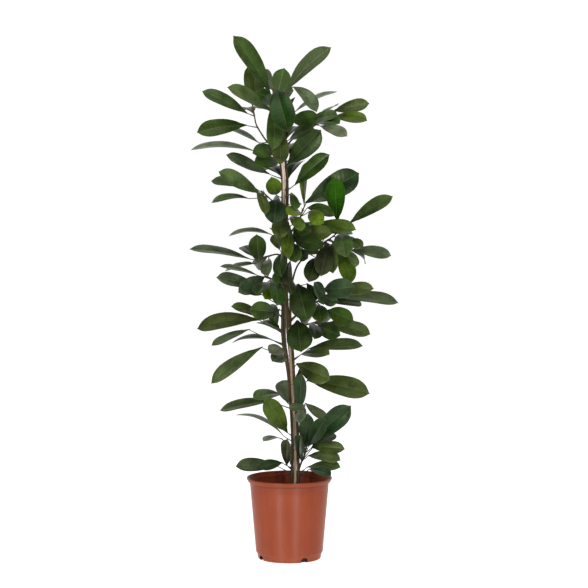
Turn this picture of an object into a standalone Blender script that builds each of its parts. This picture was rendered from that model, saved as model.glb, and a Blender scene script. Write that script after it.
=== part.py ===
"""A potted African fig: nursery pot, soil, support cane and two leafy stems, standing on z = 0."""
import math
import random

import bmesh
import bpy
from mathutils import Vector
from mathutils.bvhtree import BVHTree

# Sizes are in cm up to the mesh, which is in metres.
CM = 0.01
GAP = 0.03

# The pot: a turned plastic nursery pot, described by radii and heights.
RIM_RADIUS = 12.0
POT_HEIGHT = 23.0
FOOT_RADIUS = 8.6
FOOT_HEIGHT = 1.8
WALL_FOOT_RADIUS = 9.4
WALL_TOP_RADIUS = 11.1
LIP_HEIGHT = 1.5
LIP_STEP = 0.35
WALL = 0.18
FLOOR = 0.3
FOOT_EDGE = 0.2
FOOT_STEP = 0.3
LIP_ROUND = 0.3
TURNED_SIDES = 44
SMOOTH_ANGLE = math.radians(35)
CUT_BEYOND = 1.0

# Four low drain notches through the foot, a quarter turn apart.
NOTCH_WIDTH = 1.9
NOTCH_HEIGHT = 1.0
NOTCH_INNER_RADIUS = 7.7
NOTCH_ARCH = ((1.0, 0.55), (0.7, 0.9), (0.3, 1.0))
NOTCH_FIRST_ANGLE = math.radians(-62)

# The soil fills the pot to this height, and stems and cane stand in plain holes in it.
SOIL_TOP = 19.0
SOIL_UNEVEN = 0.18
SOIL_RINGS = (9.0, 5.6)
SOIL_SLACK = 0.05
HOLE_BOTTOM = 9.0
HOLE_CLEARANCE = 0.09
HOLE_SIDES = 12

# The cane is straight in the soil, then leans and bends a little: (x, height, depth).
CANE_RADIUS = 0.42
CANE_PATH = ((1.6, HOLE_BOTTOM, 0.45), (1.6, 20, 0.45), (1.68, 29, 0.45), (1.55, 36, 0.45),
             (1.15, 42, 0.45), (0.88, 46, 0.45), (0.55, 52, 0.45), (0.15, 58, 0.45), (-0.5, 64, 0.45),
             (-0.95, 70, 0.4), (-1.25, 77, 0.3), (-1.35, 92, 0.1), (-1.5, 99, -0.1),
             (-1.5, 106, -0.4), (-2.0, 112, -0.6), (-2.8, 118.5, -0.8))
CANE_SIDES = 10
CANE_STEP = 12.0

# The stems' wood, and the pointed bud at the end of every shoot.
WOOD_SIDES = 7
WOOD_STEP = 6.0
BUD_LENGTH = 1.3
BUD_TIP = 0.05

# Every place on the plant is given as it looks from the front, from an eye this far from the
# axis and this high: (x, height) on the plane through the axis, and a depth behind that plane.
EYE = Vector((1.3, -700.0, 135.0))

# A leaf blade: its half-width along its length, as shares of the widest half, and its section.
BLADE_RINGS = ((0.2, 0.46), (0.45, 0.88), (0.71, 1.0), (0.91, 0.6))
BLADE_WIDTH_SHARE = 0.36
BLADE_WIDTHS = (3.4, 7.2)
BLADE_FOLD = 0.16
RIB_THICK = 0.1
EDGE_THICK = 0.07
PETIOLE_HALF = 0.15
PETIOLE_SHARES = (0.18, 0.6)
ROOT_SPACING = 0.3

# A leaf that would touch what is already there is turned towards the eye or away from it.
CLEARANCE = 0.12
TURNS = (0, 1.2, -1.2, 2.4, -2.4, 3.6, -3.6, 5, -5, 6.5, -6.5, 8, -8)

# Materials: name, base colour, roughness.
PLASTIC = ("pot_plastic", (0.42, 0.115, 0.055), 0.42)
PEAT = ("soil_peat", (0.03, 0.018, 0.012), 0.95)
CANE_WOOD = ("cane_bamboo", (0.46, 0.3, 0.18), 0.6)
LEAF_GREEN = ("fig_green", (0.035, 0.085, 0.02), 0.4)

# The two stems and their branches. A shoot is its wood's path (x, height, depth), its first and
# last radius, and its leaves. A leaf is the place of its blade's base (x, height) and of its
# tip (x, height), how far the tip reaches in depth, the width that shows, how much it arches as a
# share of its length, and 1 where its upper face shows or -1 where its underside does.
LEFT_STEM = {
    "trunk": {
        "path": ((0.6, HOLE_BOTTOM, -0.4), (0.6, 20, -0.4), (0.9, 29, -0.4), (0.75, 36, -0.4),
                 (0.45, 42, -0.4), (0.15, 46, -0.4), (-0.25, 52, -0.4), (-0.75, 56, -0.4),
                 (-1.4, 60, -0.4), (-1.8, 64, -0.4), (-1.9, 67, -0.4), (-1.85, 72, -0.4),
                 (-1.8, 79, -0.4), (-1.85, 85, -0.4), (-2.05, 90, -0.3), (-2.25, 96, 0.3), (-1.9, 102, 1.0),
                 (-2.1, 108, 1.2), (-2.9, 114, 1.0), (-3.6, 121, 0.6), (-4.2, 128, 0.5),
                 (-4.4, 131, 0.4)),
        "radii": (0.42, 0.3),
        "leaves": (
            (-5.2, 130.0, -15.5, 146.2, -2, 5.0, 0.04, 1),
            (-4.8, 125.1, -17.2, 132.0, -7, 3.6, 0.05, 1),
            (-3.4, 129.4, -1.4, 137.3, 8, 5.2, 0.05, -1),
            (-4.9, 127.6, -9.2, 130.8, -12, 3.8, 0.08, 1),
            (-3.6, 131.8, -0.3, 119.6, -15, 6.6, 0.12, 1),
            (-4.9, 127.2, -4.6, 114.6, -8, 4.6, 0.1, 1),
            (-3.8, 114.6, -10.3, 113.7, -12, 4.0, 0.08, 1),
            (-2.6, 120.4, -2.4, 110.6, -11, 4.8, 0.08, 1),
            (-2.9, 111.0, -9.8, 110.9, -13, 3.8, 0.08, 1),
            (-8.8, 114.0, -27.4, 114.6, -1, 1.8, 0.08, 1),
            (-5.2, 107.8, -17.6, 113.3, -4, 3.2, 0.0, 1),
            (-3.7, 102.2, -5.0, 107.2, -12, 4.4, 0.1, 1),
            (-3.4, 100.9, -4.5, 94.0, -14, 6.2, 0.1, 1),
            (-2.0, 96.2, -2.9, 89.8, -13, 5.0, 0.1, 1),
            (-4.4, 90.8, -17.0, 90.6, 2, 1.4, 0.12, 1),
            (-1.9, 86.2, -2.2, 79.2, -12, 3.6, 0.1, 1),
            (-7.5, 74.2, -13.8, 76.4, -12, 2.8, 0.05, 1),
            (-7.5, 67.3, -16.3, 71.0, -9, 2.6, 0.11, 1),
            (-3.8, 69.4, -11.2, 70.2, -12, 5.2, 0.06, 1),
            (-8.0, 67.2, -25.8, 64.7, 1, 4.5, 0.08, 1),
            (-10.9, 64.7, -21.8, 60.0, -5, 2.2, 0.02, 1),
            (-4.2, 61.4, -16.2, 60.6, 5, 1.3, 0.11, 1),
            (-7.4, 59.7, -21.9, 49.3, -3, 3.9, 0.03, 1),
            (-1.4, 58.8, -5.7, 57.9, -14, 3.4, 0.06, 1),
            (-1.0, 56.6, -4.9, 55.6, -13, 3.2, 0.06, 1),
            (-0.3, 43.6, -2.0, 50.3, 9, 4.8, 0.04, 1),
            (-4.4, 44.4, -19.5, 41.7, 2, 2.8, 0.04, 1),
            (-2.2, 46.2, -10.2, 45.0, -13, 3.0, 0.08, 1),
            (-0.5, 35.4, -6.7, 45.3, -7, 5.4, 0.03, 1),
            (-1.4, 34.3, -15.3, 40.4, 4, 1.1, 0.12, 1),
            (-1.5, 33.2, -7.3, 33.0, -12, 0.9, 0.1, 1),
            (-0.7, 26.0, -0.5, 33.7, -8, 3.0, 0.03, 1),
            (-3.0, 26.1, -15.1, 25.9, -5, 3.8, 0.05, 1),
            (-4.6, 131.0, -8.0, 135.0, 14, 3.0, 0.08, -1),
            (-3.8, 127.4, -1.2, 132.0, 16, 2.8, 0.08, -1),
            (-3.8, 125.0, -7.5, 126.0, 17, 2.5, 0.1, 1),
            (-3.2, 117.0, -4.6, 121.0, 17, 2.5, 0.1, -1),
            (-2.9, 112.0, -6.2, 113.0, 17, 2.5, 0.12, 1),
            (-2.4, 107.4, -6.6, 109.0, 16, 2.2, 0.1, 1),
            (-1.7, 99.4, -5.0, 98.5, 17, 3.0, 0.12, 1),
            (-1.5, 93.4, -4.5, 96.0, 16, 3.0, 0.1, 1),
            (-2.4, 89.0, -4.4, 92.0, 15, 3.0, 0.1, 1),
            (-2.5, 73.6, -4.5, 76.4, 17, 3.0, 0.1, 1),
            (-2.6, 68.4, -7.5, 70.0, 14, 3.0, 0.1, 1),
            (-2.3, 63.6, -8.6, 66.4, 12, 2.4, 0.1, 1),
            (-2.7, 70.4, -4.6, 66.4, 8, 3.2, 0.1, 1),
            (-1.8, 27.0, -8.4, 25.4, -8, 3.0, 0.08, 1),
            (0.2, 26.6, -1.0, 30.4, 15, 2.4, 0.1, 1),
        ),
    },
    "left_side_branch": {
        "path": ((-0.3, 51, -0.45), (-0.5, 54, -0.7), (-0.8, 58, -1.0), (-1.15, 62, -1.2),
                 (-1.3, 68, -1.3), (-1.45, 74, -1.6), (-1.5, 80, -1.9), (-1.3, 85, -2.1)),
        "radii": (0.28, 0.18),
        "leaves": (
            (-2.7, 86.8, -4.8, 91.0, -5, 3.0, 0.1, 1),
            (-1.9, 80.6, -4.4, 77.4, -8, 3.4, 0.1, 1),
            (-0.9, 79.6, 0.2, 74.2, -10, 2.6, 0.1, 1),
        ),
    },
    "left_top_twig": {
        "path": ((-2.8, 113, 1.0), (-4.4, 115.4, 0.6), (-6.2, 117, 0.1), (-7.4, 118.6, 0),
                 (-9.1, 121.5, 0), (-9.7, 124.2, 0), (-10.0, 125.8, 0)),
        "radii": (0.28, 0.17),
        "leaves": (
            (-10.2, 126.8, -9.1, 138.6, -3, 6.4, 0.03, 1),
            (-11.4, 124.6, -24.2, 130.9, 0, 3.6, 0.03, 1),
            (-11.7, 121.5, -25.7, 119.5, -5, 4.6, 0.07, 1),
            (-8.2, 116.4, -19.0, 121.2, 7, 1.5, 0.04, 1),
            (-9.9, 124.6, -12.4, 125.6, 15, 2.0, 0.1, 1),
        ),
    },
    "left_upper_twig": {
        "path": ((-2.2, 98, 0.65), (-3.6, 99.7, 0.4), (-5.3, 101, 0.1), (-7.0, 102.6, 0)),
        "radii": (0.26, 0.16),
        "leaves": (
            (-8.0, 102.4, -19.7, 108.6, -6, 4.2, 0.03, 1),
            (-9.5, 104.3, -21.8, 106.0, 3, 3.0, 0.05, 1),
            (-10.9, 101.0, -21.7, 99.9, -1, 1.8, 0.12, 1),
            (-9.2, 103.4, -6.6, 96.6, -13, 2.8, 0.12, 1),
        ),
    },
    "left_middle_twig": {
        "path": ((-1.9, 85.2, -0.4), (-3.6, 85.6, -0.1), (-5.4, 85.2, 0), (-7.7, 84.6, 0),
                 (-8.6, 84.0, 0)),
        "radii": (0.26, 0.17),
        "leaves": (
            (-10.5, 84.1, -27.9, 87.0, -1, 2.3, 0.04, 1),
            (-8.6, 83.4, -9.1, 91.2, -10, 4.9, 0.05, 1),
            (-9.2, 84.4, -13.2, 87.8, 13, 3.0, 0.05, 1),
            (-9.2, 83.0, -18.0, 80.9, 8, 1.4, 0.05, 1),
            (-6.2, 84.8, -9.4, 82.2, 7, 3.4, 0.08, 1),
            (-5.8, 84.2, -5.8, 79.6, -13, 3.2, 0.1, 1),
        ),
    },
    "left_lower_twig": {
        "path": ((-1.8, 77, -0.4), (-3.8, 78.2, -0.2), (-5.9, 79.2, -0.2)),
        "radii": (0.26, 0.17),
        "leaves": (
            (-8.6, 79.6, -19.4, 82.2, -1, 1.4, 0.04, 1),
            (-8.2, 76.2, -20.4, 79.1, -6, 3.6, 0.04, 1),
            (-6.8, 79.4, -14.3, 74.9, -12, 4.5, 0.06, 1),
            (-4.2, 77.0, -6.9, 73.0, -9, 3.8, 0.08, 1),
            (-5.0, 77.6, -9.0, 74.2, -15, 3.2, 0.08, 1),
            (-5.0, 78.6, -3.5, 71.2, -13, 4.2, 0.1, 1),
        ),
    },
}
RIGHT_STEM = {
    "trunk": {
        "path": ((2.6, HOLE_BOTTOM, -0.4), (2.6, 20, -0.4), (2.45, 30, -0.4), (2.35, 36, -0.4),
                 (1.95, 42, -0.4), (1.65, 46, -0.4), (1.25, 52, -0.4), (0.95, 58, -0.6),
                 (0.35, 64, -0.7), (-0.4, 70, -0.8), (-0.8, 77, -0.8), (-0.9, 86, -1.0),
                 (-0.75, 93, -1.1), (-0.62, 100, -0.9), (-0.62, 106, -0.5), (-0.95, 110, 0.0),
                 (-1.3, 115, 0.4), (-1.5, 121, 1.0), (-1.4, 127, 1.2), (-1.5, 130, 1.2)),
        "radii": (0.43, 0.33),
        "leaves": (
            (-0.8, 130.8, 11.6, 143.0, 0, 4.4, 0.08, -1),
            (0.7, 132.1, 7.6, 125.1, -11, 3.4, 0.16, 1),
            (1.4, 125.0, 13.4, 130.8, 6, 1.4, 0.06, 1),
            (0.4, 122.7, 8.3, 123.9, -11, 4.5, 0.06, 1),
            (0.0, 117.5, 6.9, 120.6, -12, 3.2, 0.06, 1),
            (-0.6, 110.6, 8.8, 120.2, -7, 6.2, 0.05, 1),
            (1.4, 104.8, 11.2, 113.4, -7, 4.5, 0.05, 1),
            (0.5, 102.9, 1.4, 98.0, -9, 2.6, 0.08, 1),
            (0.4, 96.2, 3.4, 92.0, -14, 3.2, 0.1, 1),
            (0.3, 93.6, 0.0, 84.4, -9, 3.4, 0.1, 1),
            (0.8, 91.0, 12.0, 91.4, -9, 4.4, 0.05, 1),
            (1.2, 89.6, 9.6, 87.6, -12, 4.2, 0.07, 1),
            (0.9, 89.0, 1.8, 83.2, -13, 4.2, 0.1, 1),
            (4.0, 87.6, 7.6, 85.6, -13, 2.6, 0.08, 1),
            (0.4, 84.0, 0.3, 76.6, -12, 2.6, 0.1, 1),
            (2.2, 67.2, 3.3, 58.2, -12, 7.2, 0.08, 1),
            (5.0, 59.0, 20.6, 59.9, -3, 3.3, 0.05, 1),
            (3.0, 57.5, 11.3, 57.5, -12, 2.8, 0.05, 1),
            (1.9, 55.0, 11.4, 50.4, -10, 5.6, 0.05, 1),
            (4.9, 50.3, 22.5, 46.5, -4, 5.8, 0.05, 1),
            (3.0, 42.0, 3.6, 52.0, -9, 3.8, 0.03, 1),
            (4.6, 43.2, 0.4, 41.6, -14, 2.4, 0.08, 1),
            (4.3, 43.9, 10.2, 38.8, 9, 2.8, 0.03, -1),
            (4.8, 25.7, 14.4, 25.6, -8, 2.9, 0.05, 1),
            (5.4, 25.2, 11.7, 23.3, -10, 2.4, 0.05, 1),
            (-1.3, 128.8, 1.2, 131.0, 17, 3.0, 0.08, -1),
            (-1.2, 122.6, 3.0, 123.4, 17, 3.0, 0.1, 1),
            (-1.0, 117.4, 2.6, 121.0, 17, 3.0, 0.1, 1),
            (-1.0, 113.4, 1.6, 116.0, 17, 3.0, 0.1, 1),
            (-0.2, 106.8, 3.5, 111.4, 14, 3.0, 0.1, 1),
            (1.0, 100.6, 1.8, 98.6, 16, 3.2, 0.12, 1),
            (1.4, 92.6, 3.6, 94.6, 15, 3.6, 0.12, 1),
            (1.5, 89.6, 4.0, 87.8, 15, 3.4, 0.1, 1),
            (1.8, 74.6, 4.8, 72.6, 15, 3.4, 0.12, 1),
            (1.9, 69.2, 5.4, 66.8, 14, 3.6, 0.12, 1),
            (-0.4, 124.6, 0.6, 128.4, 14, 3.2, 0.1, 1),
            (0.4, 112.2, 2.6, 115.6, 15, 3.4, 0.1, 1),
            (1.2, 94.4, 6.0, 91.6, -9, 3.6, 0.1, 1),
            (1.1, 88.6, 3.4, 93.6, 8, 3.4, 0.1, 1),
            (1.3, 86.8, 5.2, 84.4, -10, 3.4, 0.1, 1),
            (4.4, 42.6, 2.8, 38.2, -12, 2.8, 0.08, 1),
            (2.4, 61.2, 4.6, 60.6, 16, 3.2, 0.1, 1),
            (1.8, 51.4, 7.0, 52.4, 14, 3.0, 0.1, 1),
        ),
    },
    "right_top_twig": {
        "path": ((-1.3, 115, 0.4), (0.8, 117.6, 0.4), (2.8, 119.4, 0.3), (6.5, 121.6, 0.2),
                 (10.5, 123.8, 0)),
        "radii": (0.28, 0.17),
        "leaves": (
            (12.0, 125.3, 22.2, 127.5, -4, 3.5, 0.04, 1),
            (12.0, 123.8, 21.6, 122.7, -9, 3.2, 0.06, 1),
            (4.4, 121.9, 13.5, 124.2, -10, 2.8, 0.06, 1),
            (7.6, 121.9, 14.0, 121.9, -13, 2.4, 0.06, 1),
            (9.2, 123.9, 13.2, 126.9, 12, 1.0, 0.05, 1),
            (8.4, 121.3, 16.1, 118.4, -8, 3.0, 0.06, 1),
            (6.2, 120.6, 9.2, 121.8, 15, 2.6, 0.12, 1),
        ),
    },
    "right_upper_twig": {
        "path": ((-0.75, 90, -1.05), (1.0, 92.6, -0.8), (2.6, 95, -0.4), (3.6, 97.6, 0)),
        "radii": (0.26, 0.17),
        "leaves": (
            (4.2, 98.8, 4.5, 111.2, -5, 2.0, 0.02, 1),
            (4.4, 99.9, 19.4, 108.2, 1, 7.2, 0.1, 1),
            (3.8, 94.6, 6.4, 92.4, 12, 3.6, 0.1, 1),
            (3.2, 97.2, -0.8, 96.8, -13, 3.0, 0.08, 1),
            (5.2, 93.3, 18.6, 92.4, -8, 3.6, 0.06, 1),
            (5.4, 97.6, 9.6, 94.2, -14, 4.2, 0.08, 1),
            (4.7, 98.4, 12.6, 96.2, -9, 3.0, 0.2, 1),
        ),
    },
    "right_middle_branch": {
        "path": ((0.35, 64, -0.7), (0.3, 69, -0.6), (0.35, 75, -0.5), (1.8, 81.4, -0.2), (4.1, 84.6, 0),
                 (8.3, 88.0, 0), (12.2, 90.6, 0), (13.8, 92.4, 0)),
        "radii": (0.34, 0.18),
        "leaves": (
            (13.4, 94.6, 12.5, 107.2, -4, 5.4, 0.03, 1),
            (14.4, 91.6, 15.8, 84.7, -14, 5.4, 0.1, 1),
            (13.5, 88.6, 17.2, 77.4, -9, 4.6, 0.06, 1),
            (10.8, 88.8, 8.8, 79.4, -11, 5.2, 0.1, 1),
            (12.2, 89.0, 12.2, 80.2, -13, 3.8, 0.1, 1),
            (16.4, 94.0, 28.8, 101.8, 1, 3.8, 0.03, 1),
            (17.5, 86.9, 28.4, 85.2, -3, 3.4, 0.05, 1),
            (14.8, 88.9, 19.7, 88.7, 14, 2.0, 0.08, 1),
            (16.4, 86.8, 21.0, 83.0, 10, 1.6, 0.2, 1),
            (15.6, 87.2, 18.6, 82.0, -11, 2.4, 0.08, 1),
            (9.2, 86.2, 12.2, 82.0, 7, 4.0, 0.1, 1),
            (16.2, 89.6, 20.4, 87.2, -10, 3.0, 0.1, 1),
            (10.2, 91.4, 17.6, 91.6, 10, 2.2, 0.06, 1),
            (7.7, 84.8, 5.4, 77.8, -13, 4.8, 0.1, 1),
            (2.4, 77.4, 4.9, 67.0, -12, 7.2, 0.08, 1),
            (4.8, 77.6, 7.4, 72.6, -12, 2.8, 0.08, 1),
        ),
    },
    "right_lower_branch": {
        "path": ((0.1, 66.5, -0.75), (3.0, 69.5, -0.5), (7.0, 72, 0), (10.5, 73.8, 0)),
        "radii": (0.3, 0.18),
        "leaves": (
            (9.6, 71.4, 6.8, 77.8, -12, 3.0, 0.06, 1),
            (9.4, 75.7, 18.2, 76.4, -12, 5.6, 0.06, 1),
            (12.4, 75.0, 23.6, 76.0, -6, 3.6, 0.05, 1),
            (12.6, 73.6, 30.5, 72.0, 0, 3.4, 0.04, 1),
            (9.0, 73.2, 13.6, 72.4, -6, 3.6, 0.1, 1),
            (8.6, 70.8, 11.4, 67.4, 8, 3.8, 0.1, 1),
            (10.8, 72.1, 20.2, 71.9, 9, 3.2, 0.06, 1),
            (10.6, 70.0, 18.0, 66.9, -12, 4.8, 0.08, 1),
            (8.2, 71.6, 8.8, 66.6, -14, 4.6, 0.1, 1),
            (7.4, 72.8, 9.6, 74.2, 16, 3.0, 0.1, 1),
        ),
    },
    "right_low_twig": {
        "path": ((0.5, 63, -0.7), (2.4, 64.6, -0.5), (4.6, 65.8, -0.1), (7.2, 66.6, 0.1)),
        "radii": (0.26, 0.16),
        "leaves": (
            (9.4, 66.4, 22.7, 63.2, -4, 4.2, 0.05, 1),
            (7.8, 65.6, 14.3, 62.8, -12, 4.6, 0.06, 1),
            (6.4, 66.0, 7.0, 61.8, -14, 3.6, 0.1, 1),
            (7.0, 66.2, 10.6, 64.8, 15, 3.0, 0.1, 1),
        ),
    },
    "right_basal_twig": {
        "path": ((2.5, 24, -0.4), (3.1, 26.4, -0.3), (4.0, 28.6, 0), (4.5, 30.6, 0.2)),
        "radii": (0.28, 0.17),
        "leaves": (
            (5.2, 32.5, 17.3, 43.1, -3, 6.0, 0.04, 1),
            (6.0, 31.0, 12.8, 35.2, 11, 3.4, 0.04, 1),
            (4.2, 31.8, 5.2, 41.0, -6, 4.2, 0.04, 1),
            (5.4, 31.6, 10.4, 39.4, -11, 4.2, 0.05, 1),
            (3.3, 27.6, 3.3, 34.8, -11, 2.6, 0.05, 1),
            (6.2, 31.2, 15.6, 30.8, -7, 3.4, 0.08, 1),
            (5.0, 28.9, 14.4, 27.6, -10, 3.2, 0.08, 1),
            (4.8, 31.4, 8.6, 34.6, 15, 3.0, 0.1, 1),
            (4.0, 30.8, 7.0, 37.0, 13, 3.0, 0.05, 1),
        ),
    },
}


def clear_scene():
    """Takes away every object that the file opened with."""
    for thing in list(bpy.data.objects):
        bpy.data.objects.remove(thing, do_unlink=True)


def give_material(thing, material_values):
    """Gives an object its own plain material: a base colour and a roughness."""
    name, colour, roughness = material_values
    material = bpy.data.materials.new(name)
    material.use_nodes = True
    shader = material.node_tree.nodes["Principled BSDF"]
    shader.inputs["Base Color"].default_value = (*colour, 1.0)
    shader.inputs["Roughness"].default_value = roughness
    shader.inputs["Metallic"].default_value = 0.0
    thing.data.materials.clear()
    thing.data.materials.append(material)


def make_object(name, points, faces):
    """Makes a closed mesh object from points in cm and faces, all turned outward."""
    form = bmesh.new()
    corners = [form.verts.new(Vector(point) * CM) for point in points]
    for face in faces:
        form.faces.new([corners[i] for i in face])
    bmesh.ops.recalc_face_normals(form, faces=form.faces)
    return link_form(name, form)


def link_form(name, form):
    """Puts a form into the scene as an object of that name."""
    mesh = bpy.data.meshes.new(name)
    form.to_mesh(mesh)
    form.free()
    thing = bpy.data.objects.new(name, mesh)
    bpy.context.scene.collection.objects.link(thing)
    return thing


def smooth(thing):
    """Shades a round piece smooth, with its corners kept sharp."""
    thing.data.shade_smooth()
    thing.data.set_sharp_from_angle(angle=SMOOTH_ANGLE)


def turned(name, outline):
    """Turns an outline of (radius, height) points about the axis into a closed solid."""
    form = bmesh.new()
    points = [form.verts.new((radius * CM, 0, height * CM)) for radius, height in outline]
    edges = [form.edges.new(pair) for pair in zip(points, points[1:])]
    bmesh.ops.spin(form, geom=points + edges, cent=(0, 0, 0), axis=(0, 0, 1),
                   angle=math.tau, steps=TURNED_SIDES, use_merge=True)
    bmesh.ops.remove_doubles(form, verts=form.verts, dist=1e-6)
    bmesh.ops.recalc_face_normals(form, faces=form.faces)
    return link_form(name, form)


def apply_boolean(thing, others, operation):
    """Joins or cuts an object with all the others at once, and takes those away."""
    group = bpy.data.collections.new("operands")
    bpy.context.scene.collection.children.link(group)
    for other in others:
        group.objects.link(other)
    step = thing.modifiers.new("joined", "BOOLEAN")
    step.operation = operation
    step.operand_type = "COLLECTION"
    step.collection = group
    step.solver = "EXACT"
    bpy.context.view_layer.update()
    graph = bpy.context.evaluated_depsgraph_get()
    mesh = bpy.data.meshes.new_from_object(thing.evaluated_get(graph))
    thing.modifiers.clear()
    thing.data = mesh
    for other in others:
        bpy.data.objects.remove(other, do_unlink=True)
    bpy.data.collections.remove(group)


def wall_radius(height):
    """The pot wall's outer radius at a height."""
    share = (height - FOOT_HEIGHT) / (POT_HEIGHT - LIP_HEIGHT - FOOT_HEIGHT)
    return WALL_FOOT_RADIUS + (WALL_TOP_RADIUS - WALL_FOOT_RADIUS) * share


def make_pot():
    """The pot: flat base, narrower foot, tapered wall and a flared, rolled lip."""
    lip_foot = POT_HEIGHT - LIP_HEIGHT
    foot_top = FOOT_HEIGHT + FOOT_STEP / 2
    outside = (
        (0, 0), (FOOT_RADIUS, 0), (FOOT_RADIUS + FOOT_EDGE, FOOT_EDGE),
        (WALL_FOOT_RADIUS - FOOT_STEP, FOOT_HEIGHT - FOOT_STEP / 3), (WALL_FOOT_RADIUS, foot_top),
        (WALL_TOP_RADIUS, lip_foot), (WALL_TOP_RADIUS + LIP_STEP, lip_foot + LIP_STEP / 3),
        (RIM_RADIUS - LIP_ROUND / 3, POT_HEIGHT - 2 * LIP_ROUND), (RIM_RADIUS, POT_HEIGHT - LIP_ROUND),
        (RIM_RADIUS - LIP_ROUND / 4, POT_HEIGHT - LIP_ROUND / 4),
        (RIM_RADIUS - LIP_ROUND * 3 / 4, POT_HEIGHT))
    inside = (
        (RIM_RADIUS - LIP_ROUND * 5 / 4, POT_HEIGHT - LIP_ROUND / 4),
        (WALL_TOP_RADIUS + LIP_STEP - WALL, lip_foot + LIP_STEP),
        (WALL_TOP_RADIUS - WALL, lip_foot - WALL / 2), (WALL_FOOT_RADIUS - WALL, foot_top + WALL / 3),
        (WALL_FOOT_RADIUS - FOOT_STEP - WALL, FOOT_HEIGHT - FOOT_STEP / 3),
        (FOOT_RADIUS - WALL / 3, FLOOR), (0, FLOOR))
    pot = turned("pot", outside + inside)
    apply_boolean(pot, [notch_cutter(index) for index in range(4)], "DIFFERENCE")
    smooth(pot)
    give_material(pot, PLASTIC)
    return pot


def notch_cutter(index):
    """A low arch that cuts one drain notch out of the foot from below."""
    right = [(NOTCH_WIDTH / 2, -CUT_BEYOND)]
    right += [(NOTCH_WIDTH / 2 * side, NOTCH_HEIGHT * up) for side, up in NOTCH_ARCH]
    shape = right + [(-side, up) for side, up in reversed(right)]
    angle = NOTCH_FIRST_ANGLE + index * math.pi / 2
    outward = Vector((math.sin(angle), -math.cos(angle), 0))
    across = Vector((math.cos(angle), math.sin(angle), 0))
    points = []
    for radius in (NOTCH_INNER_RADIUS, WALL_FOOT_RADIUS + CUT_BEYOND):
        points += [outward * radius + across * side + Vector((0, 0, up)) for side, up in shape]
    return make_object(f"notch_{index}", points, tube_faces(2, len(shape)))


def make_soil():
    """The soil, a plug that fills the pot, with a slightly uneven top and three plain holes."""
    draw = random.Random(4)
    slack = WALL + SOIL_SLACK
    outline = [(0, FLOOR + GAP), (FOOT_RADIUS - 2 * WALL, FLOOR + GAP),
               (WALL_FOOT_RADIUS - FOOT_STEP - WALL - 2 * SOIL_SLACK, FOOT_HEIGHT),
               (WALL_FOOT_RADIUS - slack, FOOT_HEIGHT + FOOT_STEP),
               (wall_radius(SOIL_TOP) - slack, SOIL_TOP)]
    outline += [(radius, SOIL_TOP) for radius in (*SOIL_RINGS, 0)]
    soil = turned("soil", outline)
    for vertex in soil.data.vertices:
        radius = math.hypot(vertex.co.x, vertex.co.y) / CM
        on_top = vertex.co.z > (SOIL_TOP - GAP) * CM
        if on_top and 0.9 * SOIL_RINGS[-1] < radius < 1.1 * SOIL_RINGS[0]:
            vertex.co.z += draw.uniform(-SOIL_UNEVEN, SOIL_UNEVEN) * CM
    left, right = LEFT_STEM["trunk"], RIGHT_STEM["trunk"]
    stands = ((left["path"][0], left["radii"][0]), (right["path"][0], right["radii"][0]),
              (CANE_PATH[0], CANE_RADIUS))
    apply_boolean(soil, [hole_cutter(place, radius) for place, radius in stands], "DIFFERENCE")
    give_material(soil, PEAT)
    return soil


def hole_cutter(place, radius):
    """A plain round cutter for the hole that a stem or the cane stands in."""
    centre = seen(*place)
    path = [Vector((centre.x, centre.y, height)) for height in (centre.z - GAP, SOIL_TOP + CUT_BEYOND)]
    points = tube_points(path, [radius + HOLE_CLEARANCE] * 2, HOLE_SIDES)
    return make_object("hole", points, tube_faces(2, HOLE_SIDES))


def seen(x, height, depth):
    """The point at a depth that the eye sees at this place of the plane through the axis."""
    on_plane = Vector((x, 0.0, height))
    return EYE + (on_plane - EYE) * ((depth - EYE.y) / -EYE.y)


def smooth_path(corners, step):
    """Points along a smooth curve through the corners, about a step apart."""
    points = []
    last = len(corners) - 1
    for i in range(last):
        start, end = corners[i], corners[i + 1]
        before, after = corners[max(i - 1, 0)], corners[min(i + 2, last)]
        pieces = max(1, round((end - start).length / step))
        for k in range(pieces):
            t = k / pieces
            points.append(0.5 * (2 * start + (end - before) * t
                                 + (2 * before - 5 * start + 4 * end - after) * t * t
                                 + (3 * start - before - 3 * end + after) * t ** 3))
    points.append(corners[-1])
    return points


def tube_points(path, radii, sides):
    """The rings of points of a tube, with a radius for each point of its path."""
    points = []
    across = Vector((1, 0, 0))
    for i, centre in enumerate(path):
        along = (path[min(i + 1, len(path) - 1)] - path[max(i - 1, 0)]).normalized()
        across = (across - along * across.dot(along)).normalized()
        other = along.cross(across)
        for k in range(sides):
            turn = math.tau * k / sides
            points.append(centre + radii[i] * (across * math.cos(turn) + other * math.sin(turn)))
    return points


def tube_faces(rings, sides):
    """The faces of a closed tube of that many rings."""
    faces = [list(range(sides - 1, -1, -1))]
    for row in range(0, (rings - 1) * sides, sides):
        for k in range(sides):
            j = (k + 1) % sides
            faces.append([row + k, row + j, row + sides + j, row + sides + k])
    faces.append(list(range((rings - 1) * sides, rings * sides)))
    return faces


def shoot_path(shoot):
    """A shoot's wood as points, and the radius at each, with the bud's tip as the last."""
    path = smooth_path([seen(*place) for place in shoot["path"]], WOOD_STEP)
    first, last = shoot["radii"]
    radii = [first + (last - first) * i / (len(path) - 1) for i in range(len(path))]
    path.append(path[-1] + (path[-1] - path[-2]).normalized() * BUD_LENGTH)
    radii.append(BUD_TIP)
    return path, radii


def make_cane():
    """The bamboo cane, between the stems and a little behind them."""
    path = smooth_path([seen(*place) for place in CANE_PATH], CANE_STEP)
    points = tube_points(path, [CANE_RADIUS] * len(path), CANE_SIDES)
    cane = make_object("cane", points, tube_faces(len(path), CANE_SIDES))
    smooth(cane)
    give_material(cane, CANE_WOOD)
    return cane


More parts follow.
